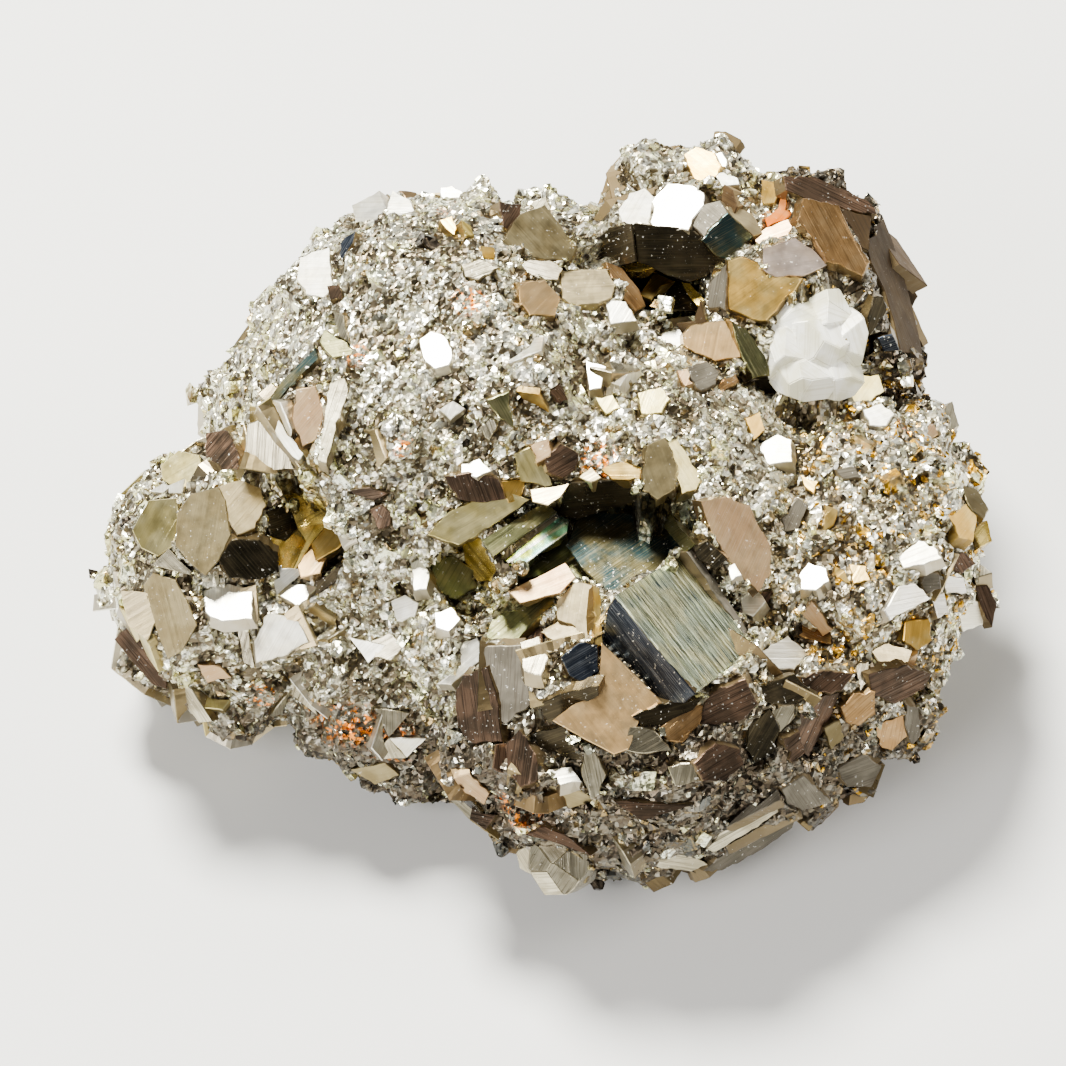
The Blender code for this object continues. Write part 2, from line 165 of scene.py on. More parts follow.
# Finishes: main and second colour, the combed lines' colour and strength, how much pale dust lies
# on it, roughness, the lines' pitch, and how metallic it is, wholly so where no share is given
FINISHES = {
    "steel": Finish(
        (0.47, 0.53, 0.39), (0.60, 0.60, 0.38), (0.02, 0.03, 0.045), 0.95, 0.1, 0.34, 0.045
    ),
    "blue_black": Finish(
        (0.010, 0.013, 0.020), (0.03, 0.036, 0.048), (0.4, 0.42, 0.44), 0.2, 1.0, 0.38, 0.06
    ),
    "black": Finish(
        (0.014, 0.012, 0.008), (0.04, 0.032, 0.02), (0.12, 0.10, 0.06), 0.25, 0.9, 0.30, 0.08, 0.85
    ),
    "teal": Finish((0.03, 0.065, 0.075), (0.115, 0.10, 0.05), (0.30, 0.27, 0.17), 0.3, 1.0, 0.34, 0.06),
    "slate": Finish(
        (0.16, 0.145, 0.115), (0.10, 0.09, 0.07), (0.04, 0.03, 0.022), 0.4, 0.6, 0.5, 0.08, 0.6
    ),
    "tan": Finish((0.68, 0.46, 0.235), (0.60, 0.43, 0.24), (0.42, 0.27, 0.14), 0.2, 0.5, 0.42, 0.06),
    "beige": Finish((0.66, 0.55, 0.33), (0.56, 0.47, 0.30), (0.30, 0.23, 0.12), 0.2, 0.4, 0.38, 0.07),
    "brown": Finish((0.27, 0.165, 0.08), (0.36, 0.24, 0.13), (0.10, 0.06, 0.03), 0.45, 0.4, 0.38, 0.08),
    "umber": Finish(
        (0.042, 0.030, 0.021), (0.105, 0.068, 0.047), (0.015, 0.011, 0.008), 0.7, 0.5, 0.38, 0.07, 0.8
    ),
    # The next finish is very dark and not metal: painted shade over its own brown, for the crag's shaded
    # flank
    "khaki": Finish(
        (0.030, 0.018, 0.008), (0.050, 0.032, 0.015), (0.012, 0.008, 0.004), 0.35, 0.12, 0.8, 0.09, 0.0
    ),
    "bark": Finish(
        (0.045, 0.026, 0.012), (0.075, 0.047, 0.023), (0.018, 0.011, 0.006), 0.5, 0.12, 0.75, 0.08, 0.0
    ),
    "bronze": Finish(
        (0.195, 0.155, 0.085), (0.275, 0.23, 0.135), (0.12, 0.095, 0.05), 0.18, 0.4, 0.38, 0.08
    ),
    "gold": Finish((0.60, 0.37, 0.11), (0.68, 0.50, 0.21), (0.26, 0.16, 0.05), 0.2, 0.35, 0.34, 0.08),
    "amber": Finish(
        (0.80, 0.62, 0.24), (0.42, 0.29, 0.07), (0.07, 0.045, 0.0), 0.5, 0.3, 0.25, 0.3, 0.8
    ),
    "olive": Finish((0.52, 0.44, 0.19), (0.61, 0.54, 0.29), (0.27, 0.21, 0.09), 0.18, 0.4, 0.36, 0.08),
    "green": Finish((0.15, 0.155, 0.08), (0.30, 0.28, 0.15), (0.06, 0.07, 0.03), 0.4, 0.6, 0.32, 0.08),
    "rose": Finish(
        (0.41, 0.265, 0.155), (0.48, 0.345, 0.205), (0.66, 0.54, 0.40), 0.2, 0.5, 0.42, 0.06
    ),
    "lilac": Finish((0.50, 0.42, 0.37), (0.42, 0.34, 0.28), (0.28, 0.20, 0.17), 0.15, 0.5, 0.42, 0.08),
    "silver": Finish((0.62, 0.57, 0.43), (0.40, 0.36, 0.26), (0.09, 0.075, 0.05), 0.5, 0.5, 0.32, 0.07),
    "white": Finish((0.97, 0.96, 0.88), (0.86, 0.82, 0.68), (0.36, 0.30, 0.20), 0.25, 0.3, 0.42, 0.08),
    # The next finish is near-white and mostly not metal: a painted highlight for the lump that shows lit
    # white
    "frost": Finish(
        (0.98, 0.98, 0.93), (0.74, 0.72, 0.56), (0.45, 0.40, 0.25), 0.3, 0.8, 0.6, 0.2, 0.3
    ),
    "rust": Finish(
        (0.80, 0.20, 0.04), (0.66, 0.28, 0.12), (0.30, 0.10, 0.04), 0.3, 0.3, 0.6, 0.15, 0.5
    ),
    "rainbow": Finish((0.16, 0.50, 0.50), (0.42, 0.48, 0.10), (0.80, 0.72, 0.78), 0.7, 0.3, 0.22, 0.35),
}

# Finishes of the crystal faces that only the solid gives, by the zone that they are in, and in the
# hollows
MIXED = ("silver", "beige", "olive", "white", "bronze", "brown", "slate")
ZONE_FINISHES = {
    "left_ore": ("olive", "beige", "silver", "white", "bronze"),
    "front_ore": ("umber", "brown", "silver", "bronze", "slate", "black"),
    "crag_ore": ("khaki", "khaki", "bark"),
    "dome_ore": ("silver", "white", "white", "beige", "olive"),
    "skirt_ore": ("silver", "white", "white", "beige", "bronze"),
    "middle_ore": ("silver", "white", "gold", "beige", "olive"),
    "right_ore": ("gold", "silver", "bronze", "beige", "olive", "brown"),
    "under_ore": ("umber", "bronze", "slate", "brown"),
}
HOLLOW_FINISHES = ("black", "teal", "amber")

# The lean of a face that mirrors the key light into the front view
LEVEL = (-0.185, 0.62)

# Crystal faces of the front, each in a group that becomes one piece: finish, lean right and up from
# the line of sight (None where the solid gives it) and how far towards the eye its middle is fixed,
# if it is, then the striations' direction, and the face's outline in the photograph's pixels
FACES = {
    "crag_top": (
        ("white", (-0.25, 0.7), 60, "618,208 630,192 645,186 655,196 648,226 637,226 622,222"),
        ("white", (-0.05, 0.7), 10, "655,196 668,182 690,183 703,192 705,205 695,215 688,230 650,228"),
        ("black", (0.0, -0.35, -0.1), 0,
         "634,224 688,229 694,231 705,240 725,256 725,262 714,270 706,277 690,282 668,276 645,264 637,262"),
        ("black", (-0.5, -0.2, -0.1), 20, "597,238 608,228 632,224 636,262 622,266 600,256"),
        ("black", (0.0, 0.3, -3.0), 20, "618,264 645,262 690,281 706,300 706,310 660,309 645,300"),
        ("amber", (0.2, 0.8, -1.1), 10, "620,264 645,260 658,266 640,271 628,270"),
        ("amber", (-0.3, 0.7, -1.3), -50, "682,281 690,282 704,298 706,307 697,305 688,293"),
        ("gold", (0.3, 0.8, -1.6), 40, "640,294 655,270 676,280 662,285 652,299"),
        ("slate", (-0.2, -0.2), -40, "700,206 720,200 728,213 712,226 706,240 692,226"),
        ("teal", (0.3, -0.4), 30, "712,226 728,213 754,236 738,250 726,259 714,254 702,241"),
        ("beige", (0.2, 0.2), -30, "727,206 745,208 760,222 763,233 754,236 728,213"),
        ("gold", (0.0, 0.2), -40, "685,152 697,144 715,150 722,163 716,180 706,190 694,176"),
        ("white", LEVEL, 0, "714,152 722,149 729,156 727,165 719,165"),
        ("white", LEVEL, 0, "716,175 724,171 738,177 740,184 722,186"),
        ("gold", (0.4, 0.1), 70, "762,178 782,182 783,192 775,203 762,203"),
        ("rust", (0.3, 0.0), 50, "765,218 778,208 782,194 787,196 786,209 793,212 785,220 766,227"),
        ("rose", (0.1, 0.1), 20, "753,237 766,227 790,218 793,226 788,240 763,249"),
        ("lilac", (0.2, 0.1), 10, "762,249 795,238 812,249 827,265 800,277 775,278 762,270"),
    ),
    "crag_flank": (
        ("brown", (0.3, -0.1), -62,
         "803,198 838,206 849,230 869,262 862,276 845,268 826,262 811,236 797,222"),
        ("umber", (0.2, 0.5), -25,
         "784,176 815,176 850,190 874,203 878,212 858,212 838,206 803,197 786,190"),
        ("khaki", (0.6, -0.2), -62, "840,208 858,213 873,214 869,252 862,247 852,228"),
        ("khaki", None, -68,
         "876,204 886,211 896,236 906,266 913,292 922,330 926,352 902,352 895,320 886,290 872,262"
         " 869,250"),
        ("gold", (0.1, 0.0), 35,
         "727,262 741,258 756,263 766,276 801,279 798,287 785,298 775,311 765,321 748,318 728,309"),
        ("slate", (-0.6, -0.1), 80, "707,286 718,272 726,265 725,290 724,311 708,309"),
        ("brown", (0.3, 0.1), 20, "820,298 842,293 868,300 862,331 846,326 832,312"),
        ("black", (0.6, -0.3), 70, "868,318 873,298 884,297 888,310 878,326 869,336"),
        ("blue_black", (0.4, -0.5), 20, "878,338 892,334 900,350 884,352"),
    ),
    "white_lump": (
        ("bronze", (0.5, 0.1, 1.7), 60, "838,344 846,338 849,346 843,350"),
    ),
    "crag_foot": (
        ("tan", (0.0, 0.1), 78, "683,335 690,326 725,322 738,345 740,358 715,361 695,353 683,346"),
        ("white", LEVEL, 20, "647,341 665,332 680,329 684,341 682,351 668,346"),
        ("white", LEVEL, 5, "648,322 680,315 700,312 720,316 731,325 700,321 655,330"),
        ("green", (0.5, 0.0), -60, "730,322 745,330 756,346 767,362 769,376 752,379 742,360 737,345"),
        ("black", (0.2, -0.2), -30, "752,379 769,371 773,386 791,392 780,397 752,393"),
        ("slate", (0.0, -0.1), 20, "687,368 705,362 718,372 715,385 700,392 690,380"),
        ("rose", (-0.2, 0.0), 60, "676,372 687,370 692,386 683,388"),
        ("brown", (0.2, 0.0), 30, "716,386 735,374 739,382 722,393"),
        ("olive", (0.1, 0.2), 70, "636,395 660,388 668,400 660,415 640,415"),
    ),
    "stepped_block": (
        ("beige", (0.0, 0.3), 3, "560,272 606,270 614,285 612,299 598,305 575,308 562,300"),
        ("brown", (0.4, 0.1), -50, "606,262 622,268 640,290 646,306 635,312 621,296 613,280"),
        ("white", LEVEL, 60, "605,302 625,303 636,322 610,326"),
        ("silver", (0.0, 0.4), -15, "520,262 550,262 562,270 558,282 545,280 522,275"),
        ("tan", (0.0, 0.0), 45, "520,285 545,283 560,300 555,318 530,318 520,305"),
        ("bronze", (0.1, 0.1), -48,
         "502,245 520,215 545,205 560,225 576,250 572,262 545,262 520,258"),
        ("umber", (-0.1, -0.1), 60, "500,202 522,205 520,225 515,235 503,228"),
        ("silver", (0.3, 0.5), 60, "530,200 545,192 552,205 540,214"),
    ),
    "dome_faces": (
        ("white", LEVEL, 0, "421,342 432,334 446,338 454,352 450,368 436,372 424,360"),
        ("white", (-0.4, 0.5), 0, "300,258 330,248 334,290 325,300 308,296 298,280"),
        ("white", (-0.3, 0.6), 0, "350,203 378,188 390,215 380,222 355,222"),
        ("white", (0.1, 0.7), 0, "385,215 392,190 410,200 415,212 392,218"),
        ("rose", (0.2, 0.6), 0, "398,185 415,187 423,200 405,196"),
        ("white", LEVEL, 0, "440,187 452,184 465,195 442,200"),
        ("blue_black", (-0.6, 0.0), 60, "344,240 356,233 353,245 343,262 340,255"),
        ("gold", (0.2, 0.1), -50, "440,222 452,218 458,230 455,238 445,232"),
        ("amber", (0.3, 0.0), -50, "462,222 472,228 475,238 466,240"),
        ("gold", (0.0, 0.2), 10, "481,248 495,250 495,262 484,260"),
        ("green", (0.1, -0.1), -60, "488,402 510,394 512,415 514,430 500,420 492,410"),
        ("umber", (0.0, -0.2), -50, "548,395 560,385 568,402 560,406"),
        ("silver", (0.0, 0.3), 20, "462,268 480,262 500,270 480,282 465,280"),
        ("white", LEVEL, 60, "585,362 605,368 600,390 588,392"),
        ("silver", (0.2, 0.4), 40, "608,362 622,365 632,385 618,382"),
        ("umber", (-0.3, 0.2), 60, "328,288 340,286 343,300 332,302"),
        ("silver", (-0.6, 0.2), 70, "334,312 345,318 352,345 342,340"),
        ("olive", (0.1, 0.2), 60, "595,400 612,396 620,410 604,416"),
        ("silver", (0.0, 0.5), -70, "478,432 492,420 500,428 490,442"),
        ("white", (0.1, 0.6), 70, "440,412 455,402 466,410 452,422"),
        ("white", LEVEL, 70, "412,562 424,558 431,572 428,588 416,590"),
        ("white", (-0.1, 0.6), 20, "392,600 406,594 420,602 416,618 398,620"),
        ("silver", (0.0, 0.4), 30, "372,640 392,632 405,645 392,660 376,656"),
        ("white", LEVEL, 0, "436,612 452,606 462,618 450,630 438,626"),
        ("umber", (0.1, 0.1), 70, "372,510 384,505 394,512 392,526 380,530"),
        ("umber", (0.0, -0.2), 10, "352,492 372,488 390,494 376,502"),
    ),
    "striated_cube": (
        ("steel", None, -52, "613,594 647,573 683,553 716,597 749,645 720,670 691,689 650,640"),
        ("blue_black", (-0.9, -0.64, 11.5), -52,
         "605,608 613,595 650,641 691,690 680,699 661,699 632,668 601,638"),
        ("slate", (0.9, 0.2), -52, "684,552 689,549 720,590 751,640 748,645 716,598"),
    ),
    "brown_steps": (
        ("tan", None, -52,
         "600,640 632,670 661,700 648,707 637,716 626,744 612,749 585,735 552,716 570,702 596,690"
         " 599,660"),
        ("beige", (-0.1, 0.0), 80, "556,600 575,580 594,584 594,640 578,640 575,625 556,618"),
        ("gold", (0.8, 0.3), 88, "592,584 598,586 601,642 594,644"),
        ("beige", (0.1, 0.3), 20, "540,630 560,617 578,620 580,640 562,646"),
        ("silver", (-0.3, 0.5), 70, "520,640 538,634 548,655 540,672 524,668"),
        ("blue_black", (0.1, -0.1), 30, "560,655 578,640 597,642 597,668 585,682 568,672"),
        ("black", (-0.1, -0.9), 20, "538,702 560,690 596,682 597,692 575,702 548,720"),
        ("slate", (-0.1, -0.2), 86, "482,645 520,643 530,665 530,702 505,722 487,700"),
        ("umber", (-0.2, -0.4), -82, "456,692 465,673 488,664 496,690 503,738 470,740 458,722"),
        ("white", (-0.2, 0.7), 40, "438,682 462,664 460,641 478,636 486,655 470,668 452,683"),
    ),
    "central_vug": (
        # Painted shade: a black face at the top of the vug, where the overhang's shadow falls
        ("black", (0.0, -1.2, 6.9), 5, "552,514 570,484 640,479 641,500 615,508 575,520"),
        ("teal", (0.1, 0.75, 6.2), 34,
         "575,522 600,502 645,488 668,500 684,526 694,546 678,558 620,592 604,590 580,566 566,545"),
        ("green", (0.0, 0.6, 6.4), 36, "508,563 520,566 566,534 572,545 604,590 575,578 545,574 514,580"),
        ("green", (-1.2, 0.3, 7.0), 34, "641,482 660,500 676,526 692,544 682,552 662,528 648,508"),
        ("rainbow", (0.0, 0.7, 7.5), 36, "500,553 555,512 569,520 567,533 520,567 508,563"),
        ("green", (0.2, 0.6, 7.9), 36, "482,540 545,502 557,512 500,552 494,556"),
        ("olive", (-0.1, 0.3), 30, "430,535 450,512 500,490 530,500 500,522 460,545"),
        ("amber", (0.3, 0.2), -50, "462,540 490,538 514,568 505,582 478,582 465,562"),
        ("green", (0.0, 0.0), 60, "432,560 455,555 475,570 478,590 455,600 435,588"),
        ("rose", (0.0, 0.6, 8.4), 22, "508,590 545,572 565,562 575,576 560,592 520,602"),
        ("green", (-0.2, 0.0), 40, "485,640 492,618 545,585 556,600 540,615 515,640"),
        ("beige", (-0.12, 0.5, 8.2), 20, "530,490 555,487 569,484 560,498 548,506 532,502"),
        ("gold", (0.1, 0.1), 60, "500,482 525,480 522,500 508,504"),
        ("umber", (0.0, -0.4), -70, "446,478 470,474 500,480 506,500 480,504 460,500"),
        ("white", LEVEL, 0, "462,465 480,460 492,472 478,478 462,474"),
        ("umber", (0.1, -0.1), 30, "545,458 560,445 578,455 575,471 562,479 547,473"),
        ("rose", (-0.2, 0.1), 30, "530,446 548,440 550,458 538,464"),
        ("olive", (0.2, 0.0), -62, "514,455 530,448 548,475 552,487 520,482"),
        ("bronze", (-0.3, -0.1), -70, "645,447 662,440 670,452 673,470 672,490 655,500 641,491 640,470"),
        ("olive", (0.4, 0.2), -58, "665,446 675,440 700,480 694,490 680,495 672,470"),
        ("beige", (0.0, 0.6), 30, "578,478 590,468 600,478 590,484"),
        ("gold", (0.1, 0.5), 0, "600,470 615,462 640,468 638,480 610,480"),
    ),
    "brown_slab": (
        ("rose", (0.1, 0.0), 65,
         "698,502 722,497 746,506 755,525 768,545 768,570 756,590 742,580 725,560 710,535"),
        ("black", (0.0, -0.3), 45, "690,545 704,540 724,558 714,568 695,560"),
        ("lilac", (-0.3, 0.2), 45, "684,552 700,537 706,541 692,557"),
        ("white", LEVEL, 0, "738,598 752,585 762,600 750,615 740,612"),
        ("white", (0.0, 0.6), 0, "752,652 785,634 806,652 790,666 765,668"),
        ("white", LEVEL, 0, "722,565 732,562 738,574 728,580"),
    ),
    "left_faces": (
        ("olive", None, 30, "160,465 178,450 200,455 203,468 196,486 175,488 162,478"),
        ("olive", None, 60, "133,530 150,500 178,498 180,512 176,545 160,556 142,548"),
        ("bronze", None, 80, "193,494 221,487 228,500 234,535 222,560 209,575 192,562 178,545 180,512"),
        ("beige", (0.3, 0.3), 50, "221,487 242,480 262,488 268,505 258,528 240,535 232,520"),
        ("black", (0.1, -0.3), -50, "221,560 235,540 262,540 281,552 281,572 262,580 232,578"),
        ("black", (0.6, 0.1, 3.0), 20, "268,512 290,503 299,528 287,541 272,536"),
        ("amber", (-0.2, 0.5, 3.0), 30, "280,492 330,495 352,506 330,522 299,528 290,503"),
        ("amber", (0.7, 0.3, 3.0), 60, "272,536 287,541 299,528 308,540 292,575 278,566"),
        ("gold", (-0.7, 0.5, 4.0), 50, "330,522 352,508 355,530 340,548 318,560 312,544"),
        ("tan", (-0.4, 0.8, 3.8), 50, "299,566 312,544 318,560 330,552 322,572 303,577"),
        ("amber", (-0.4, 0.3, 3.3), 60, "299,528 330,522 312,544 299,566 292,575 308,540"),
        ("silver", (0.0, 0.0), 86, "250,425 268,418 285,445 298,470 262,472 246,470"),
        ("white", (-0.1, 0.6), -55, "260,406 268,402 307,455 300,463 284,442"),
        ("rose", (0.1, 0.2), 50, "300,392 318,388 328,410 320,440 306,448 295,420"),
        ("silver", (0.3, 0.4), 72, "333,385 348,380 352,392 342,420 330,465 322,462 328,420"),
        ("teal", (-0.3, 0.1), 46, "270,402 285,382 318,350 321,360 300,380 280,403"),
        ("green", (0.0, 0.5), 10, "326,332 350,345 354,358 335,360 322,345"),
        ("bronze", None, -75, "145,585 155,572 178,580 190,600 200,625 185,650 170,658 158,628"),
        ("umber", None, -50, "112,640 125,628 152,640 162,650 165,690 150,685 128,660"),
        ("white", LEVEL, 88, "205,590 226,583 255,588 255,618 225,620 208,612"),
        ("white", (0.1, 0.5), 62, "256,640 270,612 300,618 310,640 285,655 258,662"),
        ("white", LEVEL, 40, "272,590 290,583 320,586 300,606 285,598"),
        ("rose", (0.0, -0.2), 20, "198,664 222,666 232,677 208,683"),
        ("silver", (-0.3, 0.2), -58, "166,676 182,676 212,722 198,724"),
        ("beige", None, 30, "122,590 150,592 158,622 150,640 130,625"),
        ("umber", (0.1, 0.1), 50, "205,432 228,430 240,455 238,478 212,482 206,460"),
        ("silver", (0.1, 0.2), 75, "238,622 250,630 256,668 245,662"),
        ("black", (-0.2, -0.5), 48, "298,604 318,582 342,566 338,580 315,600"),
    ),
    "lower_lenses": (
        ("umber", (0.0, -0.5), 26, "690,720 706,690 740,676 753,700 740,716 716,722"),
        ("black", (0.1, -0.8), 15, "630,712 655,700 700,695 690,706 660,720 640,722"),
        ("brown", (0.0, -0.1), 40, "655,724 680,706 700,702 696,720 680,738 664,736"),
        ("silver", (0.0, 0.4), 30, "628,722 652,726 668,745 645,749 622,745"),
        ("black", (-0.1, -0.7), 20, "532,730 560,722 585,738 583,756 555,752 538,742"),
        ("silver", (-0.1, 0.1), -78, "583,745 592,742 604,770 598,790 590,795 580,770"),
        ("umber", (-0.2, -0.3), 82, "505,742 520,725 535,750 540,775 520,782 508,762"),
        ("white", LEVEL, 10, "538,766 570,762 580,775 560,780"),
        ("bronze", (0.0, -0.4), -20, "540,778 580,785 598,797 570,802 545,792"),
        ("umber", (0.2, -0.5), 30, "690,758 712,738 736,745 740,760 722,776 700,776"),
        ("silver", (-0.1, 0.1), 80, "665,762 690,757 697,776 672,781"),
        ("black", (0.1, -0.5), 60, "745,722 765,706 776,726 770,750 752,760 742,745"),
        ("silver", (0.0, 0.1), 62, "768,706 790,700 791,715 776,730 766,728"),
        ("umber", (0.3, -0.3), 66, "791,702 836,690 826,720 806,755 796,745 790,722"),
        ("umber", (0.0, -0.1), 40, "780,736 795,728 802,750 788,760"),
        ("brown", (0.3, -0.3), 42, "838,706 850,692 872,690 872,712 855,724 842,720"),
        ("umber", (0.3, -0.6), 25, "865,672 900,664 930,672 922,688 892,703 868,692"),
        ("brown", (0.4, -0.3), 80, "873,725 900,713 906,735 890,750 876,744"),
        ("slate", (0.9, -0.2), 80, "904,704 916,708 919,735 911,744 902,724"),
        ("slate", (0.2, -0.3), -55, "778,786 800,772 818,790 830,800 800,808 784,800"),
        ("slate", (0.3, -0.5), 20, "835,767 860,752 880,765 870,785 846,786"),
        ("silver", (0.1, 0.3), 28, "705,846 720,826 760,808 782,804 745,830 712,849"),
        ("slate", (0.4, -0.6), 33, "702,869 735,840 782,815 801,801 792,826 757,851 720,869"),
        ("silver", (0.0, 0.4), -10, "650,850 690,851 707,862 690,869 655,863"),
        ("umber", (0.0, 0.4), -25, "525,830 545,822 570,832 590,851 575,846 545,836"),
        ("silver", (-0.3, 0.2), -60, "515,850 530,840 548,862 560,880 540,880 520,866"),
        ("bronze", (0.2, 0.0), 50, "552,846 575,848 590,862 585,880 562,880"),
        ("rose", (-0.2, 0.0), -40, "455,775 470,770 490,790 485,802 462,786"),
        ("silver", (-0.5, -0.2), -40, "440,790 455,785 480,810 500,840 470,822"),
        ("umber", (0.0, -0.5), 0, "612,796 650,798 690,800 640,815"),
        ("bronze", (-0.2, -0.2), 20, "350,770 385,762 400,775 375,785"),
        ("umber", (0.2, -0.4), 40, "795,675 820,668 850,672 838,688 805,690"),
        ("black", (0.0, -0.6), 20, "752,684 790,672 808,690 790,702 760,700"),
        ("silver", (0.3, 0.2), 70, "853,664 866,660 864,680 856,690"),
        ("bronze", (0.2, -0.2), 60, "820,725 836,718 842,735 828,748"),
    ),
    "right_faces": (
        ("white", LEVEL, 20, "893,556 915,540 932,545 938,558 920,564 898,568"),
        ("white", (0.3, 0.6), 10, "880,610 895,585 912,582 927,598 910,606 895,613 885,620"),
        ("white", (0.1, 0.5), 0, "930,598 942,592 948,612 936,618"),
        ("slate", (0.1, 0.1), 0, "918,580 925,571 937,575 938,588 925,593 919,588"),
        ("umber", (0.3, -0.1), -60, "936,560 962,552 976,563 962,573 945,569"),
        ("white", (0.2, 0.5), 0, "942,575 962,577 966,592 945,593"),
        ("gold", (0.4, 0.1), 50, "946,516 965,504 976,515 972,541 958,537"),
        ("amber", (0.7, 0.0), 50, "974,534 989,520 994,541 981,547"),
        ("bronze", (0.5, 0.4), -40, "962,484 980,489 992,510 985,520 970,505"),
        ("gold", (0.3, 0.0), 82, "902,620 926,618 930,640 915,650 900,640"),
        ("beige", (0.2, 0.3), -8, "868,650 885,642 910,650 905,661 880,666"),
        ("rose", (0.3, -0.3), 30, "898,661 916,652 913,668 901,673"),
        ("white", (0.4, 0.4), 0, "957,612 975,600 987,603 986,625 965,633"),
        ("umber", (0.9, 0.0), -70, "976,588 990,585 1000,602 995,628 985,612"),
        ("white", LEVEL, 0, "795,575 805,562 822,568 825,580 812,590 798,588"),
        ("white", LEVEL, 0, "757,445 775,435 790,440 790,462 765,466"),
        ("gold", (0.2, 0.1), 50, "822,504 836,510 831,525 820,531"),
        ("gold", (0.1, 0.0), 40, "826,562 841,570 846,583 832,576"),
        ("gold", (0.3, 0.2), 60, "845,564 861,565 866,580 850,583"),
        ("gold", (0.0, 0.1), 70, "744,420 758,412 763,430 752,441"),
        ("gold", (0.2, 0.0), -40, "798,475 815,482 812,493 802,487"),
        ("rose", (0.2, -0.3), -50, "798,613 808,601 829,628 820,635"),
        ("white", (0.1, 0.6), 20, "862,410 880,404 893,414 885,426 868,426"),
        ("olive", (0.0, 0.2), 55, "847,396 862,375 880,374 885,390 870,402 852,403"),
        ("slate", (0.1, 0.1), 10, "834,470 852,465 859,478 841,479"),
        ("slate", (0.0, -0.1), 65, "780,518 796,498 806,505 795,530 782,532"),
        ("rose", (0.1, 0.0), 60, "928,428 934,420 940,434 930,440"),
        ("silver", (0.5, 0.4), 70, "945,405 955,400 962,425 952,432"),
        ("umber", (0.1, -0.3), 50, "746,610 760,592 770,590 764,610 752,622"),
    ),
}

# Rounded, many-sided nodules, by the piece that they go into: finish, middle right and up in the
# front view, how far its middle lies under the surface, its half sizes, and how many facets it has
NODULES = {
    "white_lump": (
        # A painted highlight: these facets take the near-white finish all over
        ("frost", (13.3, 10.0), 0.5, (1.4, 1.2, 1.1), 17),
        ("frost", (14.9, 10.3), 0.6, (1.3, 1.1, 1.1), 14),
        ("frost", (12.9, 8.5), 0.6, (1.2, 1.4, 1.1), 13),
        ("frost", (14.4, 8.7), 0.4, (1.7, 1.5, 1.2), 19),
        ("frost", (15.8, 8.9), 0.6, (1.1, 1.4, 1.0), 15),
        ("frost", (13.6, 7.2), 0.5, (1.4, 1.2, 1.0), 16),
        ("frost", (15.1, 7.3), 0.6, (1.3, 1.2, 1.0), 18),
    ),
    "lower_lenses": (("silver", (1.1, -18.0), 1.2, (1.75, 1.65, 1.6), 30),),
}


def cube_points():
    """The corners of a cube whose faces lie 1 from its middle."""
    return [Vector((x, y, z)) for x in (-1, 1) for y in (-1, 1) for z in (-1, 1)]


def pyritohedron_points(flare=0.5):
    """The corners of the twelve-sided crystal that pyrite is known for."""
    long = 1 + flare
    short = 1 - flare * flare
    points = cube_points()
    for a in (-long, long):
        for b in (-short, short):
            points += [Vector((0, a, b)), Vector((b, 0, a)), Vector((a, b, 0))]
    return points


def hull(points):
    """A closed convex body round points, with its flat faces whole."""
    mesh = bmesh.new()
    for point in points:
        mesh.verts.new(point)
    bmesh.ops.convex_hull(mesh, input=mesh.verts)
    bmesh.ops.dissolve_limit(mesh, angle_limit=0.001, verts=mesh.verts, edges=mesh.edges)
    bmesh.ops.recalc_face_normals(mesh, faces=mesh.faces)
    return mesh


class Value:
    """A socket in a material's nodes, on which sums are written as in plain Python."""

    def __init__(self, tree, socket):
        self.tree = tree
        self.socket = socket

    def node(self, kind, settings=None, sockets=None, output=0):
        """Any other node: its type, its settings, then the values or links of its sockets."""
        made = self.tree.nodes.new(kind)
        for name, setting in (settings or {}).items():
            setattr(made, name, setting)
        for name, value in (sockets or {}).items():
            plug(self.tree, value, made.inputs[name])
        return Value(self.tree, made.outputs[output])

    def math(self, operation, *values):
        """A Math node."""
        return self.node("ShaderNodeMath", {"operation": operation}, dict(enumerate(values)))

    def vector(self, operation, *values, output=0):
        """A Vector Math node."""
        settings = {"operation": operation}
        return self.node("ShaderNodeVectorMath", settings, dict(enumerate(values)), output)

    def scaled(self, amount):
        """This vector, made longer or shorter."""
        settings = {"operation": "SCALE"}
        return self.node("ShaderNodeVectorMath", settings, {0: self, "Scale": amount})

    def mix(self, first, second):
        """The first colour where this value is 0, and the second where it is 1."""
        settings = {"data_type": "RGBA"}
        return self.node("ShaderNodeMix", settings, {0: self, 6: first, 7: second}, 2)

    def part(self, index):
        """One part of a vector or a colour."""
        return self.node("ShaderNodeSeparateXYZ", None, {0: self}, index)

    def richer(self, saturation, value):
        """This colour with its strength and its brightness changed."""
        sockets = {"Color": self, "Saturation": saturation, "Value": value}
        return self.node("ShaderNodeHueSaturation", None, sockets)

    def ramp(self, low, high):
        """0 below low, 1 above high, and smooth between."""
        sockets = {"Value": self, "From Min": low, "From Max": high}
        return self.node("ShaderNodeMapRange", {"interpolation_type": "SMOOTHSTEP"}, sockets)

    def __add__(self, other):
        return self.math("ADD", self, other)

    def __radd__(self, other):
        return self.math("ADD", other, self)

    def __sub__(self, other):
        return self.math("SUBTRACT", self, other)

    def __rsub__(self, other):
        return self.math("SUBTRACT", other, self)

    def __mul__(self, other):
        return self.math("MULTIPLY", self, other)

    def __rmul__(self, other):
        return self.math("MULTIPLY", other, self)


def plug(tree, value, socket):
    """Puts a number, a colour or another socket into a socket."""
    if isinstance(value, Value):
        tree.links.new(value.socket, socket)
    elif isinstance(value, tuple) and socket.type == "RGBA" and len(value) == 3:
        socket.default_value = (*value, 1.0)
    else:
        socket.default_value = value


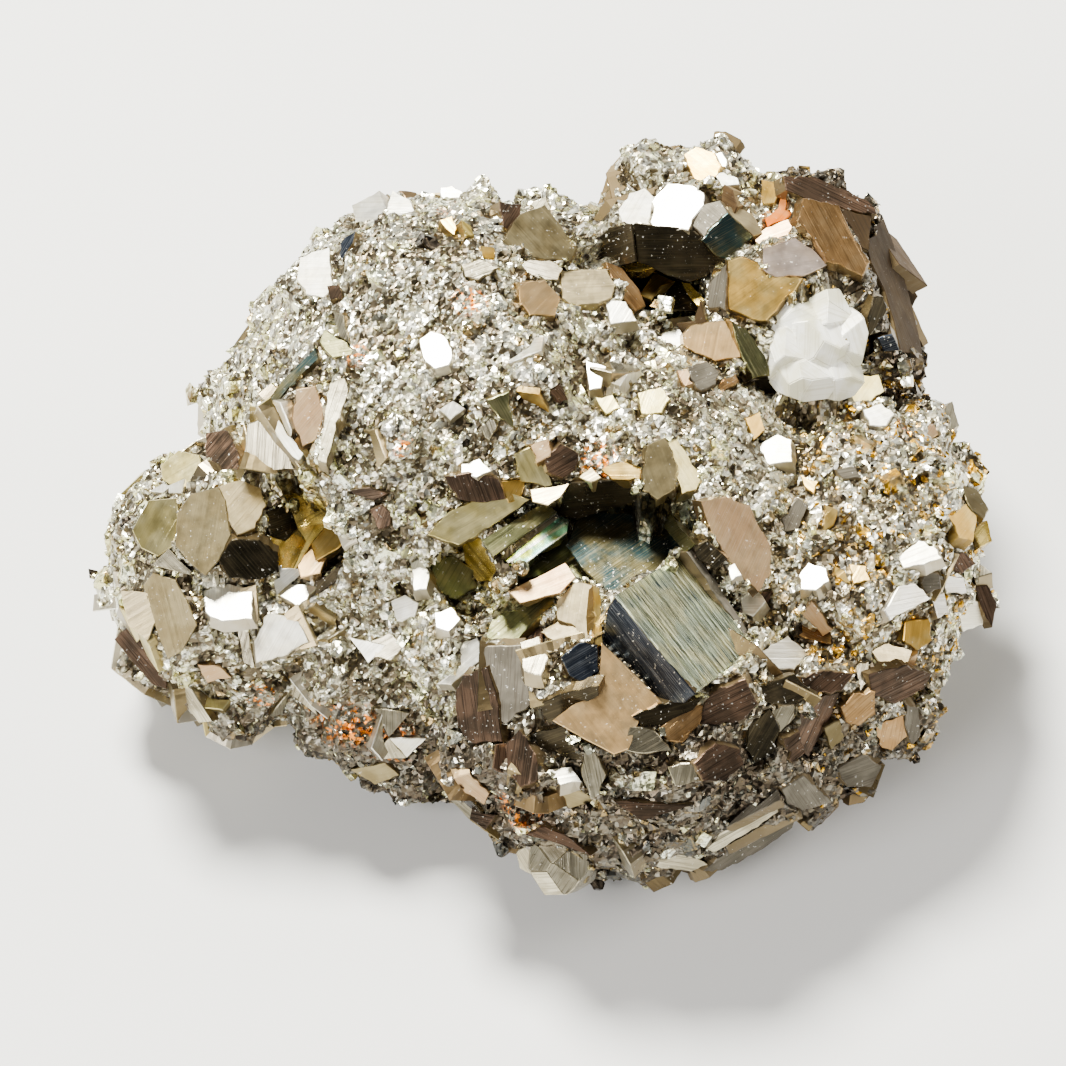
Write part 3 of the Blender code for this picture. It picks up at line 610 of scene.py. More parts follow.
def new_material(name):
    """A metal with nodes, its shader, and the place on the piece in millimetres."""
    material = bpy.data.materials.new(name)
    material.use_nodes = True
    tree = material.node_tree
    shader = tree.nodes["Principled BSDF"]
    shader.inputs["Metallic"].default_value = 1.0
    coordinates = Value(tree, tree.nodes.new("ShaderNodeTexCoord").outputs["Object"])
    return material, shader, coordinates.scaled(1 / MM)


def attribute(place, name, output="Fac"):
    """A value that the piece's mesh carries."""
    return place.node("ShaderNodeAttribute", {"attribute_name": name}, output=output)


def clouds(place, size, detail=2.0, seed=0.0):
    """Soft noise whose lumps are about so many millimetres wide."""
    moved = place.vector("ADD", place, (seed, seed * 0.7, seed * 1.3))
    return place.node(
        "ShaderNodeTexNoise", None, {"Vector": moved, "Scale": 1 / size, "Detail": detail}
    )


def cells(place, size):
    """A random colour for each small cell of the ore."""
    return place.node("ShaderNodeTexVoronoi", None, {"Vector": place, "Scale": 1 / size}, "Color")


def tilted_cells(place, cell, amount):
    """The surface's normal, tipped another way in each cell, as on a broken metallic surface."""
    normal = place.node("ShaderNodeNewGeometry", output="Normal")
    tip = place.vector("SUBTRACT", cell, (0.5, 0.5, 0.5)).scaled(amount)
    tipped = place.vector("ADD", normal, tip)
    return place.vector("NORMALIZE", tipped)


def combed(place, along, pitch, seed=0.0):
    """Fine parallel lines across a direction, of uneven strength."""
    across = place.vector("DOT_PRODUCT", place, along, output="Value") * (1 / pitch)
    point = place.node("ShaderNodeCombineXYZ", None, {"X": across, "Y": seed})
    return place.node("ShaderNodeTexNoise", None, {"Vector": point, "Scale": 1.0, "Detail": 3.0})


def bumped(place, height, strength, distance, normal=None):
    """The normal of a surface with this height on it, in millimetres."""
    sockets = {"Height": height, "Strength": strength, "Distance": distance * MM}
    if normal is not None:
        sockets["Normal"] = normal
    return place.node("ShaderNodeBump", None, sockets)


def broken_lines(place, pitch, seed=0.0, length=9.0):
    """Fine lines along a crystal face's striations, each broken here and there, from 0 to 1."""
    across = place.vector("DOT_PRODUCT", place, attribute(place, "across", "Vector"), output="Value")
    along = place.vector("DOT_PRODUCT", place, attribute(place, "along", "Vector"), output="Value")
    sockets = {"X": across * (1 / pitch), "Y": along * (1 / (length * pitch)), "Z": seed}
    point = place.node("ShaderNodeCombineXYZ", None, sockets)
    return place.node("ShaderNodeTexNoise", None, {"Vector": point, "Scale": 1.0, "Detail": 2.0})


# How much a tarnished face that is no longer quite metal still mirrors
DULL_SHINE = 0.15

# What the ore's colour and the crystals' colour are multiplied by: their strength and brightness
ORE_RICHNESS = (1.2, 1.03)
CRYSTAL_RICHNESS = (1.12, 0.86)

# Colours of the grains and of what settles on the crystals
SILVER = (0.95, 0.97, 0.83)
PALE_BRASS = (0.86, 0.86, 0.56)
GOLD = (0.62, 0.38, 0.11)
OLIVE_GOLD = (0.55, 0.50, 0.24)
TARNISH = (0.22, 0.165, 0.09)
NEARLY_BLACK = (0.03, 0.025, 0.02)
RUST = (0.92, 0.26, 0.0)
SPECKS = (0.14, 0.11, 0.065)
# Painted shade with some brown tarnish in it: the ore below the front and on the crag's far flank, and in
# the hollows
FRONT_SHADE_DARK = (0.036, 0.036, 0.038)
FRONT_SHADE_BROWN = (0.105, 0.093, 0.08)
HOLLOW_SHADE_BROWN = (0.05, 0.035, 0.012)
DUST = (0.88, 0.86, 0.78)

# Colours of the ore between the grains, among them painted shade: in its low spots, below the front and in
# the hollows
BETWEEN_LOW_SHADE = (0.10, 0.08, 0.05)
BETWEEN_BRASS = (0.54, 0.50, 0.36)
BETWEEN_SILVER = (0.90, 0.89, 0.76)
BETWEEN_SHADE_BROWN = (0.06, 0.045, 0.033)
BETWEEN_SPECKS = (0.12, 0.095, 0.06)
BETWEEN_CRACKS = (0.07, 0.055, 0.035)
BETWEEN_HOLLOW_SHADE = (0.022, 0.017, 0.008)

# Orange rust between the grains: right and up in the front view, and how far it spreads
RUST_SPOTS = (
    ((-9.6, -11.0), 1.5), ((-11.4, -10.6), 1.8), ((-7.6, -12.0), 1.6), ((-14.6, -9.6), 1.2),
    ((-6.9, 3.3), 0.9), ((-3.6, 11.0), 1.2), ((-9.5, 8.3), 0.9), ((-1.2, -15.2), 1.6),
    ((3.0, 2.8), 1.4), ((-13.6, 2.8), 0.8), ((-5.0, 16.0), 0.8), ((19.0, 4.6), 0.6),
)


def ball_mask(place, middle, reach, core=0.35):
    """1 round a point, falling to 0 at a distance, in millimetres."""
    away = place.vector("DISTANCE", place, tuple(middle), output="Value")
    return 1 - away.ramp(core * reach, reach)


def sum_of_balls(place, balls, core=0.35):
    """Where any of these balls is, no more than 1."""
    total = sum(ball_mask(place, middle, reach, core) for middle, reach in balls)
    return total.math("MINIMUM", total, 1.0)


def shaded_and_tarnished_places(place):
    """Painted shade, partly brown tarnish: below the front, and the far side of the crag on the right."""
    low = (-1 * place.part(1) - 0.9 * place.part(2)).ramp(-1.0, 6.0)
    flank = (place.part(0) + 0.5 * place.part(1)).ramp(19.0, 21.5) * place.part(1).ramp(3.0, 6.0)
    return low.math("MAXIMUM", low, flank)


def cracks(place):
    """The dark seams that run between the patches of ore."""
    seam = clouds(place, 1.7, 4.0, seed=17.0) - 0.5
    return 1 - seam.math("ABSOLUTE", seam).ramp(0.0, 0.035)


def ore_colour(place, tone, rust, hollow):
    """Silver to pale brass ore, olive on the left, gold on the right, with painted shade and brown tarnish
    below the front and on the crag's far flank, and painted shade in the hollows.
    """
    colour = clouds(place, 2.6, 3.0).ramp(0.42, 0.60).mix(SILVER, PALE_BRASS)
    left = (-1 * place.part(0)).ramp(9.0, 16.0) * clouds(place, 2.5, seed=3.0).ramp(0.35, 0.55)
    colour = (left * 0.5).mix(colour, OLIVE_GOLD)
    right = place.part(0).ramp(9.0, 15.0) * clouds(place, 1.3, seed=13.0).ramp(0.40, 0.50)
    colour = (right * tone.ramp(0.30, 0.45)).mix(colour, GOLD)
    brown = (0.6 * tone + clouds(place, 1.7, 4.0, seed=7.0) * 1.7).ramp(1.36, 1.52)
    colour = brown.mix(colour, TARNISH)
    # Painted shade, partly brown tarnish, below the front and on the crag's far flank
    shade_and_tarnish = shaded_and_tarnished_places(place) * (1 - tone.ramp(0.76, 0.80)) * 0.94
    colour = shade_and_tarnish.mix(colour, tone.ramp(0.2, 0.8).mix(FRONT_SHADE_DARK, FRONT_SHADE_BROWN))
    specks = clouds(place, 0.13, 3.0, seed=2.0).ramp(0.54, 0.62)
    specks = specks * clouds(place, 0.9, 2.0, seed=6.0).ramp(0.4, 0.6)
    colour = (specks * 0.6).mix(colour, SPECKS)
    colour = (cracks(place) * 0.8).mix(colour, TARNISH)
    colour = (1 - tone.ramp(0.05, 0.08)).mix(colour, NEARLY_BLACK)
    colour = rust.mix(colour.richer(*ORE_RICHNESS), RUST)
    # Painted shade, with some dark colour of their own, in the hollows
    return (hollow * 0.93).mix(colour, HOLLOW_SHADE_BROWN)


def rust_mask(place, spots):
    """Where rust has settled: crumbs of it round each spot."""
    rust = sum_of_balls(place, spots) * clouds(place, 0.3, seed=11.0).ramp(0.52, 0.60)
    return rust * 0.9


def ore_material(spots, hollows):
    """The grains: bright broken metal, each with its own tone and faint striations."""
    material, shader, place = new_material("ore_grains")
    tone = attribute(place, "tone")
    comb = attribute(place, "comb", "Vector")
    rust = rust_mask(place, spots)
    lines = combed(place, comb, 0.11)
    colour = ore_colour(place, tone, rust, sum_of_balls(place, hollows, 0.75))
    colour = (lines.ramp(0.56, 0.68) * 0.5).mix(colour, TARNISH)
    normal = tilted_cells(place, cells(place, 0.17), 0.45)
    normal = bumped(place, lines, 0.5, 0.03, normal)
    plug(place.tree, colour, shader.inputs["Base Color"])
    plug(place.tree, 1 - 0.85 * rust, shader.inputs["Metallic"])
    plug(place.tree, 0.17 + 0.26 * cells(place, 0.4).part(0), shader.inputs["Roughness"])
    plug(place.tree, normal, shader.inputs["Normal"])
    return material


def base_material(spots, hollows):
    """The ore between the grains: rough and tarnished, with painted shade in its low spots, below the front
    and on the crag's far flank, and nearly black painted shade in the hollows.
    """
    material, shader, place = new_material("ore_between")
    cell = cells(place, 0.28)
    uneven = 0.35 * (clouds(place, 0.6, 3.0) - 0.5) + 0.3 * (cell.part(1) - 0.5)
    raised = attribute(place, "raised") + uneven
    bright = cell.part(0).ramp(0.3, 0.7).mix(BETWEEN_BRASS, BETWEEN_SILVER)
    # Painted shade: darker where the ore lies low between the grains
    colour = raised.ramp(-0.10, 0.10).mix(BETWEEN_LOW_SHADE, bright)
    # Painted shade, partly brown tarnish, below the front and on the crag's far flank
    colour = (shaded_and_tarnished_places(place) * 0.85).mix(colour, BETWEEN_SHADE_BROWN)
    specks = clouds(place, 0.15, 3.0, seed=2.0).ramp(0.52, 0.62)
    colour = (specks * 0.5).mix(colour, BETWEEN_SPECKS)
    colour = (cracks(place) * 0.85).mix(colour, BETWEEN_CRACKS)
    colour = rust_mask(place, spots).mix(colour, RUST)
    # Painted shade in the hollows, nearly black
    colour = sum_of_balls(place, hollows, 0.75).mix(colour, BETWEEN_HOLLOW_SHADE)
    plug(place.tree, colour, shader.inputs["Base Color"])
    shader.inputs["Roughness"].default_value = 0.34
    plug(place.tree, tilted_cells(place, cell, 0.8), shader.inputs["Normal"])
    return material


def crystal_material(name, finish):
    """A crystal: its colour drifts, its striations are combed in, and dust lies on its faces.

    Faces carry a strip from 0 to 1, and the walls under them, which stay unlined and darker, -1.
    """
    material, shader, place = new_material(name)
    shader.inputs["Metallic"].default_value = finish.metal
    shader.inputs["Specular IOR Level"].default_value = DULL_SHINE
    strip = attribute(place, "strip")
    tone = attribute(place, "tone")
    drift = clouds(place, 1.5, 3.0).ramp(0.4, 0.62)
    colour = drift.mix(finish.main, finish.second)
    colour = (tone * 0.35).mix(colour, finish.second)
    colour = (strip.ramp(0.7, 0.9) * finish.strength * 0.25).mix(colour, finish.line)
    lines = broken_lines(place, finish.pitch, 0.0, 40.0)
    fine = broken_lines(place, finish.pitch * 0.45, 5.0, 60.0)
    top = strip.ramp(-0.6, 0.0)
    colour = (lines.ramp(0.52, 0.60) * finish.strength * top).mix(colour, finish.line)
    colour = (fine.ramp(0.56, 0.66) * finish.strength * 0.6 * top).mix(colour, finish.line)
    colour = ((1 - top) * 0.65).mix(colour, TARNISH)
    dust = clouds(place, 0.16, 2.0, 5.0).ramp(0.66, 0.72)
    dust = dust * clouds(place, 1.1, 2.0, 8.0).ramp(0.4, 0.6)
    colour = colour.richer(*CRYSTAL_RICHNESS)
    colour = (dust * finish.specks).mix(colour, DUST)
    plug(place.tree, colour, shader.inputs["Base Color"])
    roughness = finish.roughness + 0.25 * (clouds(place, 0.7, 3.0, 9.0) - 0.5) + 0.2 * dust
    plug(place.tree, roughness, shader.inputs["Roughness"])
    height = finish.strength * (lines + 0.5 * fine) + 0.6 * clouds(place, 0.4, 3.0, 4.0)
    plug(place.tree, bumped(place, height, 0.5, 0.03), shader.inputs["Normal"])
    return material


def seen_point(surface, seen):
    """Where a look from the front, at a place in the front view, meets the specimen."""
    start = FRONT_MIDDLE + RIGHT * seen[0] + UP * seen[1] + TO_EYE * FAR
    return surface.ray_cast(start, -TO_EYE)[:2]


def scene_object(name, data):
    """An object of the scene at the origin."""
    obj = bpy.data.objects.new(name, data)
    bpy.context.scene.collection.objects.link(obj)
    return obj


def evaluated_mesh(obj, name):
    """What an object's modifiers make, as a plain mesh."""
    graph = bpy.context.evaluated_depsgraph_get()
    data = bpy.data.meshes.new_from_object(obj.evaluated_get(graph))
    data.name = name
    return data


def solid_in_millimetres():
    """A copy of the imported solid, merged and in millimetres."""
    mesh = bmesh.new()
    mesh.from_mesh(frame["nodes"][NODE].data)
    bmesh.ops.scale(mesh, vec=(1 / MM,) * 3, verts=mesh.verts)
    bmesh.ops.remove_doubles(mesh, verts=mesh.verts, dist=0.001)
    return mesh


# A crystal face in space: its finish, middle, normal, striations' direction and corners, how far
# its block widens downwards, how deep that goes, and how far over it the ore is cleared
Face = namedtuple("Face", "finish middle normal along corners flare deep reach")


def chipped(corners, chip, chance):
    """An outline whose sides are broken up by small nicks."""
    points = []
    for start, end in zip(corners, corners[1:] + corners[:1]):
        side = end - start
        steps = max(1, round(side.length / SIDE_STEP))
        square = Vector((-side.y, side.x)).normalized()
        for step in range(steps):
            nick = chip * chance.gauss(0, 1) * (DEEP_NICK if chance.random() < DEEP_NICKS else 1.0)
            points.append(start + side * (step / steps) + square * nick)
    return points


def own_axes(normal, along):
    """A face's own two directions, in its plane."""
    along = (along - normal * along.dot(normal)).normalized()
    return along, normal.cross(along)


def solid_corners(middle, normal, along, corners, chip, chance):
    """The corners of a face in its plane, with its sides chipped."""
    along, across = own_axes(normal, along)
    flat = [Vector(((corner - middle).dot(along), (corner - middle).dot(across))) for corner in corners]
    return [middle + along * x + across * y for x, y in chipped(flat, chip, chance)]


def seated(surface, centre, seen, lean):
    """A face's lean, drawn towards the surface's own, and its depth there."""
    found = []
    for share in FELT_AT:
        for x, y in seen:
            x = (x - centre[0]) * share
            y = (y - centre[1]) * share
            place, _ = seen_point(surface, (centre[0] + x, centre[1] + y))
            if place is not None:
                found.append((x, y, (place - FRONT_MIDDLE).dot(TO_EYE)))
    found = np.array(found)
    flat = np.column_stack((found[:, :2], np.ones(len(found))))
    slope = np.linalg.lstsq(flat, found[:, 2], rcond=None)[0]
    own = np.clip(-slope[:2], -STEEPEST_FIT, STEEPEST_FIT)
    given = LEVEL_SHARE if lean == LEVEL else GIVEN_SHARE
    lean = given * np.array(lean) + (1 - given) * own
    depth = np.quantile(found[:, 2] + found[:, :2] @ lean, SEATING)
    return (float(lean[0]), float(lean[1])), float(depth)


def outlined_face(surface, finish, lean, way, outline, chance):
    """A face given by its outline in the photograph, laid on the solid that it belongs to."""
    seen = []
    for pair in outline.split():
        x, y = (float(part) for part in pair.split(","))
        seen.append(((x - MIDDLE_PIXEL[0]) * PIXEL, (MIDDLE_PIXEL[1] - y) * PIXEL))
    centre = (sum(x for x, _ in seen) / len(seen), sum(y for _, y in seen) / len(seen))
    place, normal = seen_point(surface, centre)
    grown = lean is None
    deep = not grown and len(lean) == 3
    if grown:
        facing = max(normal.dot(TO_EYE), 0.25)
        lean = (normal.dot(RIGHT) / facing, normal.dot(UP) / facing)
        depth = (place - FRONT_MIDDLE).dot(TO_EYE)
    elif deep:
        depth = lean[2]
    else:
        lean, depth = seated(surface, centre, seen, lean)
    corners = []
    for x, y in [centre] + seen:
        down = depth + FACE_PROUD - lean[0] * (x - centre[0]) - lean[1] * (y - centre[1])
        corners.append(FRONT_MIDDLE + RIGHT * x + UP * y + TO_EYE * down)
    middle = corners.pop(0)
    normal = (TO_EYE + RIGHT * lean[0] + UP * lean[1]).normalized()
    turned = math.radians(way)
    along = RIGHT * math.cos(turned) + UP * math.sin(turned)
    along -= TO_EYE * (along.dot(normal) / TO_EYE.dot(normal))
    fixed = grown or deep
    chip = CHIP * (FIXED_CHIP if fixed else 1.0)
    corners = solid_corners(middle, normal, along, corners, chip, chance)
    flare = FIXED_FLARE if fixed else FACE_FLARE
    reach = DEEP_REACH if deep else REACH
    return Face(finish, middle, normal, along.normalized(), corners, flare, FACE_DEPTH, reach)


def nodule(count):
    """A closed body with so many flat facets all round, about 1 from its middle."""
    chance = random.Random(count)
    directions = []
    for number in range(count):
        height = 1 - (2 * number + 1) / count
        turned = number * math.pi * (3 - math.sqrt(5))
        across = math.sqrt(1 - height * height)
        direction = Vector((across * math.cos(turned), across * math.sin(turned), height))
        shift = Vector(chance.gauss(0, NODULE_UNEVEN) for _ in range(3))
        directions.append((direction + shift).normalized())
    spread = hull(directions)
    corners = []
    for face in spread.faces:
        planes = Matrix([vert.co for vert in face.verts[:3]])
        corners.append(planes.inverted() @ Vector((1, 1, 1)))
    spread.free()
    return hull(corners)


def nodule_faces(surface, finish, seen, under, halves, count):
    """The facets of a nodule that sits in the surface."""
    middle = seen_point(surface, seen)[0] - TO_EYE * under
    body = nodule(count)
    for vert in body.verts:
        x, y, z = vert.co
        vert.co = middle + RIGHT * x * halves[0] + UP * y * halves[1] + TO_EYE * z * halves[2]
    body.normal_update()
    faces = []
    for facet in body.faces:
        if facet.normal.dot(TO_EYE) > NODULE_BACK:
            edge = facet.edges[0]
            along, _ = own_axes(facet.normal, edge.verts[1].co - edge.verts[0].co)
            corners = [vert.co.copy() for vert in facet.verts]
            block = (corners, NODULE_FLARE, NODULE_DEPTH, REACH)
            faces.append(
                Face(finish, facet.calc_center_median(), facet.normal.copy(), along, *block)
            )
    body.free()
    return faces


def front_faces(surface, chance):
    """Every outlined face and every nodule's facet, by the piece that it goes into."""
    made = {}
    for name, rows in FACES.items():
        made[name] = [outlined_face(surface, *row, chance) for row in rows]
        for row in NODULES.get(name, ()):
            made[name] += nodule_faces(surface, *row)
    return made


def in_outline(x, y, corners):
    """Which of these points of a plane lie inside an outline."""
    inside = np.zeros(len(x), bool)
    for (x0, y0), (x1, y1) in zip(corners, corners[1:] + corners[:1]):
        if y0 != y1:
            crossing = (x1 - x0) * (y - y0) / (y1 - y0) + x0
            inside ^= ((y0 > y) != (y1 > y)) & (x < crossing)
    return inside


def over_face(places, face, margin, reach):
    """Which places lie over or under a face, out to a margin, and how high over it."""
    along, across = own_axes(face.normal, face.along)
    height = (places - np.array(face.middle)) @ np.array(face.normal)
    x = (places - np.array(face.middle)) @ np.array(along)
    y = (places - np.array(face.middle)) @ np.array(across)
    corners = []
    for corner in face.corners:
        away = corner - face.middle
        away = away + away.normalized() * margin
        corners.append((away.dot(along), away.dot(across)))
    widest = max(max(abs(a), abs(b)) for a, b in corners)
    close = np.flatnonzero((abs(height) < reach) & (abs(x) < widest) & (abs(y) < widest))
    inside = in_outline(x[close], y[close], corners)
    return close[inside], height[close[inside]]


def solid_faces(mesh, taken, hollows, chance):
    """The crystal faces that only the solid gives, by zone, apart from those that are outlined."""
    bmesh.ops.dissolve_limit(mesh, angle_limit=0.02, verts=mesh.verts, edges=mesh.edges)
    names = list(ZONES)
    chosen = {name: [] for name in names}
    flat = [face for face in mesh.faces if face.calc_area() > SMALLEST_SOLID_FACE]
    middles = np.array([face.calc_center_median() for face in flat])
    covered = set()
    for face in taken:
        over, _ = over_face(middles, face, 0.0, COVER_REACH)
        covered.update(over.tolist())
    zones = zone_of(middles)
    for index, face in enumerate(flat):
        zone = names[zones[index]]
        middle = Vector(middles[index])
        patch = noise.noise(middle / PATCH_SIZE + PATCH_PLACE) * 0.5 + 0.5
        kept = patch < 0.25 + 0.5 * ZONES[zone].kept
        large = face.normal.dot(TO_EYE) > 0.25 and face.calc_area() > LARGEST_FRONT_FACE
        underside = face.normal.z < -0.9 and middle.z < BREAK_CLEAR
        if index in covered or large or underside or not kept:
            continue
        finish = chance.choice(ZONE_FINISHES.get(zone, MIXED))
        if any((middle - hollow).length < reach for hollow, reach in hollows):
            finish = chance.choice(HOLLOW_FINISHES)
        edge = face.edges[0]
        along, _ = own_axes(face.normal, edge.verts[1].co - edge.verts[0].co)
        corners = [vert.co + face.normal * FACE_PROUD for vert in face.verts]
        middle = middle + face.normal * FACE_PROUD
        corners = solid_corners(middle, face.normal, along, corners, SOLID_CHIP * CHIP, chance)
        block = (corners, -FACE_FLARE, FACE_DEPTH, REACH)
        chosen[zone].append(Face(finish, middle, face.normal.copy(), along, *block))
    return chosen


def comb_face(mesh, face, face_along, finish, strips, chance):
    """Cuts a face into uneven strips along its striations and tips the strips."""
    pitch = finish.pitch * STRIP_PITCHES
    normal = face.normal.copy()
    across = normal.cross(face_along).normalized()
    reach = [vert.co.dot(across) for vert in face.verts]
    pieces = [face]
    line = min(reach) + pitch * chance.uniform(0.5, 1.0)
    while line < max(reach) - 0.4 * pitch:
        geom = set(pieces)
        for piece in pieces:
            geom.update(piece.edges)
            geom.update(piece.verts)
        cut = bmesh.ops.bisect_plane(mesh, geom=list(geom), plane_co=across * line, plane_no=across)
        pieces = [piece for piece in cut["geom"] if isinstance(piece, bmesh.types.BMFace)]
        height = chance.uniform(-1, 1) * COMB_DEPTH * finish.strength
        for vert in cut["geom_cut"]:
            if isinstance(vert, bmesh.types.BMVert):
                vert.co += normal * height
        line += pitch * chance.choice(STRIP_WIDTHS)
    for piece in pieces:
        if piece.is_valid:
            piece[strips] = chance.random()


def crystal_piece(name, faces, materials, chance):
    """Crystal faces as one mesh: each is the worn top of a block that goes down into the ore."""
    used = sorted({face.finish for face in faces})
    mesh = bmesh.new()
    strips = mesh.faces.layers.float.new("strip")
    tones = mesh.faces.layers.float.new("tone")
    alongs = mesh.verts.layers.float_vector.new("along")
    acrosses = mesh.verts.layers.float_vector.new("across")
    for face in faces:
        along, across = own_axes(face.normal, face.along)
        rings = []
        for inwards, down in ((EDGE_WEAR, 0.0), (0.0, EDGE_WEAR), (-face.flare, face.deep)):
            ring = []
            for corner in face.corners:
                to_middle = (face.middle - corner).normalized()
                vert = mesh.verts.new(corner + to_middle * inwards - face.normal * down)
                vert[alongs] = along
                vert[acrosses] = across
                ring.append(vert)
            rings.append(ring)
        top = mesh.faces.new(rings[0])
        made = [top, mesh.faces.new(rings[2][::-1])]
        for upper, lower in zip(rings, rings[1:]):
            count = len(upper)
            for i in range(count):
                j = (i + 1) % count
                made.append(mesh.faces.new((upper[i], lower[i], lower[j], upper[j])))
        top.normal_update()
        if top.normal.dot(face.normal) < 0:
            for item in made:
                item.normal_flip()
        tone = chance.random()
        walls = made[2 + len(face.corners):]
        for item in made:
            item.material_index = used.index(face.finish)
            item[tones] = tone
            item[strips] = -1.0 if item in walls else 0.3
        comb_face(mesh, top, along, FINISHES[face.finish], strips, chance)
    mesh.normal_update()
    data = bpy.data.meshes.new(name)
    mesh.to_mesh(data)
    mesh.free()
    for finish in used:
        data.materials.append(materials[finish])
    return scene_object(name, data)


def vert_vectors(data, kind):
    """A mesh's vertex places or normals as an array."""
    numbers = np.empty(len(data.vertices) * 3, np.float32)
    data.vertices.foreach_get(kind, numbers)
    return numbers.reshape(-1, 3).astype(float)


# The ore's broken facets: how wide and how steep the large and the small ones are, how much one
# stands above the next as a share of its width, how unlike two neighbours tilt, and where the
# noise is read for each of the three parts of a tilt
FACETS = ((1.6, 0.45), (0.7, 0.42))
FACET_STEP = 0.12
TILT_CHANGE = 7.3
TILT_SHIFTS = (Vector((12.4, 7.2, -2.1)), Vector((3.1, 8.7, 5.9)), Vector((9.3, 8.8, 3.9)))


def crumpled(place):
    """How far the ore stands out at a place: a flat facet in each of its cells."""
    stands_out = 0.0
    for size, steepness in FACETS:
        middle = noise.voronoi(place / size)[1][0] * size
        tilt = Vector([noise.noise(middle * TILT_CHANGE + shift) for shift in TILT_SHIFTS])
        stands_out += steepness * tilt.dot(place - middle) + FACET_STEP * size * tilt.x
    return stands_out


# Where grains don't grow: in a hollow, out to a share of its reach, and low on the ore
HOLLOW_BARE = 0.9
FLOOR_BARE = 0.4

# How free the ore is within a margin round a crystal face and right under it, and how far down the
# ore is pushed there
FACE_MARGINS = ((0.45, 0.5), (0.0, 0.0))
UNDER_FACE = 0.35


def ore_mesh(solid, faces, hollows):
    """The broken ore, sunk under the crystal faces. It carries how free it is for grains."""
    coarse = scene_object("coarse", solid)
    remesh = coarse.modifiers.new("remesh", "REMESH")
    remesh.mode = "VOXEL"
    remesh.voxel_size = ORE_MESH_STEP
    data = evaluated_mesh(coarse, "ore")
    bpy.data.objects.remove(coarse)
    places = vert_vectors(data, "co")
    out = np.array([crumpled(Vector(place)) for place in places]) - ORE_SUNK
    out[places[:, 2] < BREAK_CLEAR] = 0.0
    places += vert_vectors(data, "normal") * out[:, None]
    raised = data.attributes.new("raised", "FLOAT", "POINT")
    raised.data.foreach_set("value", (out + ORE_SUNK).astype(np.float32))
    free = np.ones(len(places))
    for middle, reach in hollows:
        away = np.linalg.norm(places - np.array(middle), axis=1)
        free[away < HOLLOW_BARE * reach] = 0.0
    for margin, left in FACE_MARGINS:
        for face in faces:
            over, height = over_face(places, face, margin, face.reach)
            free[over] = np.minimum(free[over], left)
            if margin == 0.0:
                sunk = np.maximum(height + UNDER_FACE, 0.0)
                places[over] -= np.outer(sunk, np.array(face.normal))
    places[:, 2] = np.maximum(places[:, 2], 0.0)
    free[places[:, 2] < FLOOR_BARE] = 0.0
    data.vertices.foreach_set("co", places.astype(np.float32).ravel())
    carried = data.attributes.new("free", "FLOAT", "POINT")
    carried.data.foreach_set("value", free.astype(np.float32))
    data.update()
    return data


def grain_shapes():
    """The shapes that grains take, each about 1 across: whole crystals and broken pieces."""
    collection = bpy.data.collections.new("grain_shapes")
    bpy.context.scene.collection.children.link(collection)
    chance = random.Random(3)
    bodies = [hull(point * 0.36 for point in cube_points())]
    bodies.append(hull(point * 0.33 for point in pyritohedron_points()))
    bodies.append(hull(Vector(row) * sign * 0.5 for row in Matrix.Identity(3) for sign in (-1, 1)))
    for _ in range(5):
        points = []
        for _ in range(9):
            point = Vector(chance.gauss(0, 1) for _ in range(3)).normalized()
            points.append(point * chance.uniform(0.4, 0.58))
        bodies.append(hull(points))
    for index, body in enumerate(bodies):
        bmesh.ops.triangulate(body, faces=body.faces)
        data = bpy.data.meshes.new(f"grain_{index}")
        body.to_mesh(data)
        body.free()
        obj = bpy.data.objects.new(f"grain_{index}", data)
        collection.objects.link(obj)
    return collection


GRADES = ("Coarse", "Medium", "Fine")


def grain_tree(shapes, material):
    """Geometry nodes that grow three grades of grain over a surface."""
    tree = bpy.data.node_groups.new("grown_grains", "GeometryNodeTree")
    tree.interface.new_socket("Geometry", in_out="INPUT", socket_type="NodeSocketGeometry")
    for grade in GRADES:
        tree.interface.new_socket(f"{grade} Spacing", in_out="INPUT", socket_type="NodeSocketFloat")
        tree.interface.new_socket(f"{grade} Size", in_out="INPUT", socket_type="NodeSocketFloat")
    tree.interface.new_socket("Seed", in_out="INPUT", socket_type="NodeSocketInt")
    tree.interface.new_socket("Geometry", in_out="OUTPUT", socket_type="NodeSocketGeometry")
    entry = tree.nodes.new("NodeGroupInput")
    leave = tree.nodes.new("NodeGroupOutput")
    picked = add_node(tree, "GeometryNodeCollectionInfo", {}, {0: shapes, 1: True, 2: True})
    joined = tree.nodes.new("GeometryNodeJoinGeometry")
    for number, grade in enumerate(GRADES):
        grown = grow_grade(tree, entry, picked, grade, number)
        tree.links.new(grown.outputs[0], joined.inputs[0])
    real = add_node(tree, "GeometryNodeRealizeInstances", {}, {0: joined.outputs[0]})
    coat = add_node(tree, "GeometryNodeSetMaterial", {}, {0: real.outputs[0], "Material": material})
    tree.links.new(coat.outputs[0], leave.inputs[0])
    return tree


def add_node(tree, kind, settings, sockets):
    """A geometry node with its settings, then its values and links."""
    made = tree.nodes.new(kind)
    for name, setting in settings.items():
        setattr(made, name, setting)
    for name, value in sockets.items():
        if isinstance(value, bpy.types.NodeSocket):
            tree.links.new(value, made.inputs[name])
        else:
            made.inputs[name].default_value = value
    return made


def math_node(tree, operation, first, second):
    """The result of a Math node."""
    return add_node(tree, "ShaderNodeMath", {"operation": operation}, {0: first, 1: second}).outputs[0]


